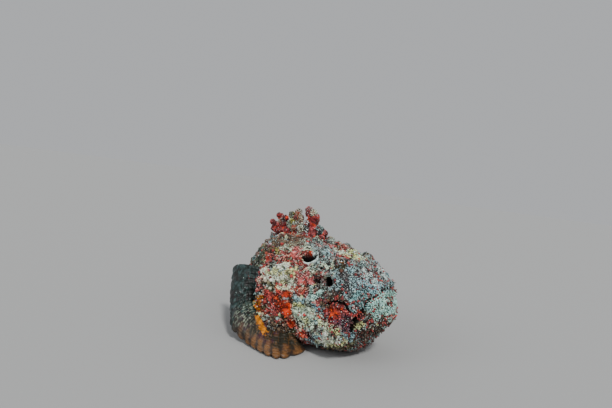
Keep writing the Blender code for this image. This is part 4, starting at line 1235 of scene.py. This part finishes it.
def finColour(points, u, v, ray):
    # Brown and grey with dark bands, pale rays and an ochre edge.
    broken, fine = cloud(points, 8, 171, 3), cloud(points, 2.4, 172, 2)
    dim = grainOf("teal", 0.35) + grainOf("brown", 0.35)
    colour = blendOf(grainOf("brown", 0.7), dim, smoothstep(-0.3, 0.4, broken))
    bands = smoothstep(0.1, 0.7, np.sin(v * 15 + 2.5 * broken))
    colour = blendOf(colour, groundOf("dark red"), 0.75 * bands)
    pale = smoothstep(0.4, 0.9, 0.6 * ray + 0.6 * fine) * smoothstep(0.95, 0.6, v)
    colour = blendOf(colour, grainOf("cream"), 0.6 * pale)
    edge = smoothstep(0.84, 0.95, v + 0.05 * fine)
    return blendOf(colour, grainOf("ochre"), edge), 0.8 * smoothstep(0.85, 0.4, v)


# Each fin: its lines from front to back at the root, half way and at the tip, and its thickness at both ends
pectoralFin = {
    "root": skinLine((0, 136, 22), (0.35, 134, -4), (0.7, 116, -26), (1, 86, -38)),
    "middle": lineThrough(
        (0, (-152, 68, 80)), (0.25, (-141, 82, 59)), (0.5, (-128, 94, 34)), (0.75, (-96, 90, 15)),
        (1, (-68, 56, 10)),
    ),
    "tip": lineThrough(
        (0, (-167, 58, 64)), (0.12, (-156, 66, 49)), (0.25, (-141, 79, 35)), (0.38, (-130, 88, 21)),
        (0.5, (-125, 90, 9)), (0.6, (-112, 87, 2)), (0.7, (-97, 89, 1.6)), (0.8, (-81, 91, 1.6)),
        (0.88, (-69, 86, 1.6)), (0.95, (-64, 69, 1.6)), (1, (-62, 48, 1.6)),
    ),
    "rays": 17, "rows": 90, "thick": (7.0, 2.6), "web": 0.7, "scallop": 0.08, "lumpy": 1.2, "groove": 0.8,
    "sharp": 0.7,
}
pelvicFin = {
    "root": skinLine((0, 96, -68), (1, 138, -64), sunk=5.0),
    "middle": lineThrough((0, (-102, 48, 5)), (1, (-150, 42, 5))),
    "tip": lineThrough((0, (-116, 56, 2.0)), (0.5, (-142, 56, 2.0)), (1, (-166, 46, 2.0))),
    "rays": 6, "rows": 40, "thick": (4.0, 2.2), "web": 0.6,
}
tailFin = {
    "root": lineThrough((0, (-274, 0, 50)), (1, (-274, 0, 25))),
    "middle": lineThrough((0, (-306, 0, 68)), (0.5, (-310, 0, 38)), (1, (-306, 0, 10))),
    "tip": lineThrough(
        (0, (-327, 0, 72)), (0.25, (-338, 0, 57)), (0.5, (-341, 0, 38)), (0.75, (-338, 0, 20)),
        (1, (-327, 0, 5)),
    ),
    "rays": 13, "rows": 64, "thick": (6.0, 2.0), "web": 0.5,
}
softDorsalFin = {
    "root": lineThrough((0, (-224, 0, 66)), (1, (-260, 0, 50))),
    "middle": lineThrough((0, (-230, 0, 96)), (0.5, (-250, 0, 92)), (1, (-272, 0, 64))),
    "tip": lineThrough((0, (-242, 0, 102)), (0.5, (-268, 0, 97)), (1, (-287, 0, 74))),
    "rays": 7, "rows": 56, "thick": (6.0, 2.0), "web": 0.5,
}
analFin = {
    "root": lineThrough((0, (-206, 0, 16)), (1, (-250, 0, 26))),
    "middle": lineThrough((0, (-218, 4, 3)), (1, (-262, 4, 12))),
    "tip": lineThrough((0, (-230, 10, 2.0)), (0.5, (-256, 12, 2.0)), (1, (-276, 10, 6))),
    "rays": 8, "rows": 40, "thick": (5.0, 2.0), "web": 0.55,
}


def mirrored(surface):
    flipped = {key: surface[key] * (1, -1, 1) for key in ("points", "normals")}
    return {**surface, **flipped, **{key: surface[key][:, ::-1] for key in ("faces", "uv")}}


# The spiny crest: each spine's distance back, height over the back, radius, lean in degrees, lumps and colour
spines = (
    (93, 17, 6.6, 2, 1, "grey"), (103, 34, 8.0, 8, 2, "rose"), (113, 18, 5.8, 10, 1, "white"),
    (122, 30, 7.0, 14, 2, "cream"), (132, 26, 7.0, 10, 1, "lemon"), (141, 18, 5.8, 12, 1, "cream"),
    (149, 24, 6.4, 16, 1, "red"), (157, 30, 7.4, 24, 2, "coral"), (166, 31, 7.0, 50, 2, "red"),
    (175, 19, 5.6, 58, 0, "white"), (185, 17, 5.0, 60, 0, "dark red"), (196, 14, 4.6, 62, 0, "brown"),
    (206, 12, 4.2, 64, 0, "olive"),
)
sheath = {
    "seed": 3, "sway": (-6.0, 6.0), "curl": 0.12, "lump": (0.5, 0.7), "small": 4, "lumped": 9,
    "rings": 5, "sides": 6, "rows": 44, "columns": 36, "lumpRows": 24, "lumpColumns": 32,
    "ridgeSteps": 26, "ridgeHigh": (5.3, 7.7), "ridgeWide": (4.4, 6.0), "ridgeRows": 180, "ridgeColumns": 48,
    "oddLumps": ("rose", "red", "cream"), "paleOnes": ("cream", "lemon", "white"), "tiles": 12,
}
# Clouds on a sheath, as on the skin, but with their cover on most sheaths and on pale ones
sheathClouds = (
    ("pink", 9, 231, 3, 0.1, 0.45, (0.6, 0.21)), ("white", 7, 241, 3, -0.1, 0.3, (0, 0.52)),
    ("grey", 6, 251, 3, 0.3, 0.5, (0.7, 0.7)), ("red", 6, 261, 3, 0.35, 0.5, (0.7, 0.245)),
    ("orange", 6, 271, 2, 0.5, 0.6, (0.9, 0.315)), ("black", 3.4, 281, 3, 0.15, 0.55, (0.7, 0.245)),
)


def crownHeight(back):
    along = np.atleast_1d(np.asarray(back, float)) - body["snoutDepth"] + body["snoutSkin"]
    return skinPoints(along, np.full(len(along), math.pi / 2))[:, 2]


def crestCrust(points, name, number):
    crust = np.broadcast_to(shades[name], (len(points), 7))
    pale = name in sheath["paleOnes"]
    return layClouds(crust, points, [(*row[:6], row[6][pale]) for row in sheathClouds], number=number)


def crestGrid(points, rows, columns, outwards, crust, box):
    # One closed lump or sheath of the crest as a surface.
    normals = gridNormals(points.reshape(rows, columns, 3), True).reshape(-1, 3)
    flip = np.sign((normals * outwards).sum(-1).mean())
    faces = gridFaces(rows, columns, True)
    uv = gridUv(np.arange(columns) / columns, np.linspace(0, 1, rows), *box, True)
    if flip < 0:
        faces, uv = faces[:, ::-1], uv[:, ::-1]
    return {
        "points": points, "normals": normals * flip, "faces": faces, "uv": uv,
        "tint": crust[:, 3:6], "grain": crust[:, :3], "crowd": crust[:, 6],
    }


def tile(number):
    # The box of one island of the crest's unwrap.
    across = sheath["tiles"]
    low = np.array([number % across, number // across]) / across
    return low + 0.05 / across, low + 0.95 / across


def ridgeSurface(draw, box):
    # The low ridge of flesh that the spines stand on.
    steps = np.linspace(spines[0][0] - 5, spines[-1][0] + 5, sheath["ridgeSteps"])
    high, wide = (draw.uniform(*sheath[key], len(steps)) for key in ("ridgeHigh", "ridgeWide"))
    run = np.linspace(steps[0] - 2, steps[-1] + 2, sheath["ridgeRows"])
    taper = np.clip(np.minimum(run - run[0], run[-1] - run) / 3, 0, 1) ** 0.5
    turn = fullTurn(sheath["ridgeColumns"])
    across = (np.interp(run, steps, wide) * taper)[:, None] * np.cos(turn)
    up = crownHeight(run)[:, None] + (np.interp(run, steps, high) * taper)[:, None] * np.sin(turn)
    points = np.stack([-run[:, None] + 0 * turn, across, up], axis=-1).reshape(-1, 3)
    ring = np.stack([0 * across, 0 * across + np.cos(turn), 0 * up + np.sin(turn)], axis=-1).reshape(-1, 3)
    points = points + ring * (1.6 * domes(points, 4.2, 311, 0.66, 0.2) - 0.3)[:, None]
    return crestGrid(points, len(run), len(turn), ring, crestCrust(points, "rose", 40), box)


def lumpSurface(middle, size, name, number, lump, box):
    # A ball of flesh on a sheath, with domes of its own.
    rows, columns = sheath["lumpRows"], sheath["lumpColumns"]
    ball, seed = ballSurface(middle, np.array([0, 0, 1.0]), size, rows, columns), 291 + number + lump
    swell = cloud(ball["points"], 2.6, seed, 2) + domes(ball["points"], 3.0, seed, 0.4**0.5, 1, 0)
    points = middle + (ball["points"] - middle) * (1 + 0.14 * swell)[:, None]
    return crestGrid(points, rows, columns, ball["normals"], crestCrust(points, name, number + lump), box)


def sheathSurface(number, draw, boxes):
    # One spine in its sheath: a post with uneven swellings, a knobbed tip and lumps on it.
    back, height, radius, tilt, lumpCount, colour = spines[number]
    tilt, sway = math.radians(tilt), math.radians(draw.uniform(*sheath["sway"]))
    lean = np.array([-math.sin(tilt), math.sin(sway), math.cos(tilt)])
    foot = np.array([-back, 0.0, crownHeight(back)[0] - 1.0])
    levels = np.linspace(0, 1, sheath["rings"])
    waist = 1.0 - 0.35 * np.sin(levels * math.pi) + 0.22 * draw.uniform(-1, 1, sheath["rings"])
    waist[-1] *= 0.75
    draw.uniform(-1, 1, (sheath["rings"], sheath["sides"]))  # the facets of the solid, passed over here

    def axisAt(share):
        middle = foot + np.multiply.outer(share * height, lean)
        middle[..., 0] -= sheath["curl"] * height * share**2
        return middle

    rows, columns = sheath["rows"], sheath["columns"]
    rise, spin = np.meshgrid(np.linspace(-0.05, 1, rows), fullTurn(columns), indexing="ij")
    cap = np.clip((1 - rise) / 0.16, 0, 1) ** 0.5
    ring = np.stack([np.cos(spin), 0.85 * np.sin(spin), 0 * spin], axis=-1)
    axis = axisAt(rise)
    axis[..., 2] += 0.35 * radius * smoothstep(0.7, 1, rise)
    points = (axis + ring * (radius * np.interp(rise, levels, waist) * cap)[..., None]).reshape(-1, 3)
    lumps = 2.0 * domes(points, 4.6, 201 + number, 0.66, 0.25) + 0.8 * cloud(points, 5.0, 221 + number, 3)
    points = points + (ring * ((lumps - 0.5).reshape(rise.shape) * cap)[..., None]).reshape(-1, 3)
    points[:, 2] += 0.8 * (lumps - 0.9) * smoothstep(0.8, 1, rise.ravel())
    crust = crestCrust(points, colour, number)
    made = [crestGrid(points, rows, columns, ring.reshape(-1, 3), crust, next(boxes))]
    extraDraw = np.random.default_rng(100 + number)
    extra = sheath["small"] if number < sheath["lumped"] else 1
    for lump in range(lumpCount + extra):
        chance = draw if lump < lumpCount else extraDraw
        angle = chance.uniform(0, 2 * math.pi)
        size = radius * chance.uniform(*sheath["lump"])
        level = levels[-1 - lump] if lump < lumpCount else extraDraw.uniform(0.25, 0.95)
        aside = 0.62 * radius * np.array([math.cos(angle), 0.7 * math.sin(angle), 0])
        odd = sheath["oddLumps"][(number + lump) % len(sheath["oddLumps"])]
        name = odd if lump % 3 == 1 else colour
        made.append(lumpSurface(axisAt(np.array(level)) + aside, size, name, number, lump, next(boxes)))
    return made


def crestSurface():
    draw = np.random.default_rng(sheath["seed"])
    boxes = (tile(number) for number in range(sheath["tiles"] ** 2))
    made = [ridgeSurface(draw, next(boxes))]
    for number in range(len(spines)):
        made += sheathSurface(number, draw, boxes)
    return joined(made)


# The studio: a pale floor, an even sky, and two soft suns with their heading, strength, softness and colour
studio = {
    "floorSize": 40.0, "floor": (0.40, 0.40, 0.40, 1), "sky": (0.95, 0.97, 1.0, 1), "skyStrength": 0.515,
    "suns": {
        "key": ((-0.5, 0.39, -0.75), 2.5, 9.0, (0.99, 0.99, 0.96)),
        "fill": ((0.4, 0.8, -0.45), 0.75, 30.0, (0.92, 0.98, 1.0)),
    },
}


def stageFloor():
    size = studio["floorSize"]
    mesh = bpy.data.meshes.new("floor")
    corners = [(x * size, y * size, 0) for x, y in ((-1, -1), (1, -1), (1, 1), (-1, 1))]
    mesh.from_pydata(corners, [], [(0, 1, 2, 3)])
    mesh.materials.append(newMaterial("floor", Roughness=0.9, Base_Color=studio["floor"])[0])
    floor = newObject("floor", mesh)


def light():
    world = bpy.data.worlds.new("studio")
    world.use_nodes = True
    background = world.node_tree.nodes["Background"]
    background.inputs["Color"].default_value = studio["sky"]
    background.inputs["Strength"].default_value = studio["skyStrength"]
    bpy.context.scene.world = world
    for name, (towards, strength, softness, colour) in studio["suns"].items():
        data = bpy.data.lights.new(name, "SUN")
        data.energy, data.angle, data.color = strength, math.radians(softness), colour
        newObject(name, data).rotation_euler = Vector(towards).to_track_quat("-Z", "Y").to_euler()


# The camera in the fish's frame: place in millimetres, angles in degrees, focal length in picture widths
view = {"place": (161.0, -413.5, 183.5), "yaw": 124.35, "pitch": 3.04, "roll": 7.66, "focal": 400.0 / 612.0}


def addCamera():
    yaw, pitch, roll = (math.radians(view[key]) for key in ("yaw", "pitch", "roll"))
    ahead = Vector((math.cos(pitch) * math.cos(yaw), math.cos(pitch) * math.sin(yaw), -math.sin(pitch)))
    right = ahead.cross(Vector((0, 0, 1))).normalized()
    up = right.cross(ahead)
    rightTurned = right * math.cos(roll) + up * math.sin(roll)
    upTurned = up * math.cos(roll) - right * math.sin(roll)
    turned = Matrix((rightTurned, upTurned, -ahead)).transposed().to_4x4()
    turned.translation = Vector(np.array(view["place"]) * mm + originShift)
    data = bpy.data.cameras.new("camera")
    data.sensor_width = 36.0
    data.lens = data.sensor_width * view["focal"]
    data.clip_start = 0.01
    camera = newObject("camera", data)
    camera.matrix_world = turned
    bpy.context.scene.camera = camera


def main():
    addCamera()
    stageFloor()
    light()
    crust, coat, fleshy = (crustMaterial(name) for name in finishes)
    surface = skinSurface()
    meshOf("skin", surface, crust, ("head", "lower_jaw", "trunk", "tail_stalk"))
    coatPieces("skin_granules", granulesOn(surface, "skin"), coat)
    coatPieces("skin_pebbles", pebblesOn(surface), coat)
    coatPieces("skin_papillae", papillaeOn(surface), coat)
    eyeball = eyeMaterial()
    for side, name in ((1, "left_eye"), (-1, "right_eye")):
        eyePiece(side, name, eyeball)
    pectoral, pelvic = finSurface(pectoralFin, pectoralColour), finSurface(pelvicFin, finColour)
    fins = {
        "left_pectoral_fin": pectoral,
        "right_pectoral_fin": mirrored(pectoral),
        "left_pelvic_fin": pelvic,
        "right_pelvic_fin": mirrored(pelvic),
        "tail_fin": finSurface(tailFin, finColour),
        "soft_dorsal_fin": finSurface(softDorsalFin, finColour),
        "anal_fin": finSurface(analFin, finColour),
    }
    for number, (name, fin) in enumerate(fins.items()):
        place = carriedToFrame if name == "left_pectoral_fin" else toFrame
        meshOf(name + "_skin", fin, fleshy, (name,), place)
        coatPieces(name + "_granules", granulesOn(fin, "fins", number), coat, place)
    crest = crestSurface()
    meshOf("crest_sheaths", crest, crust, ("spiny_dorsal_fin",))
    coatPieces("crest_granules", granulesOn(crest, "crest"), coat)
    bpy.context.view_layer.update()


main()
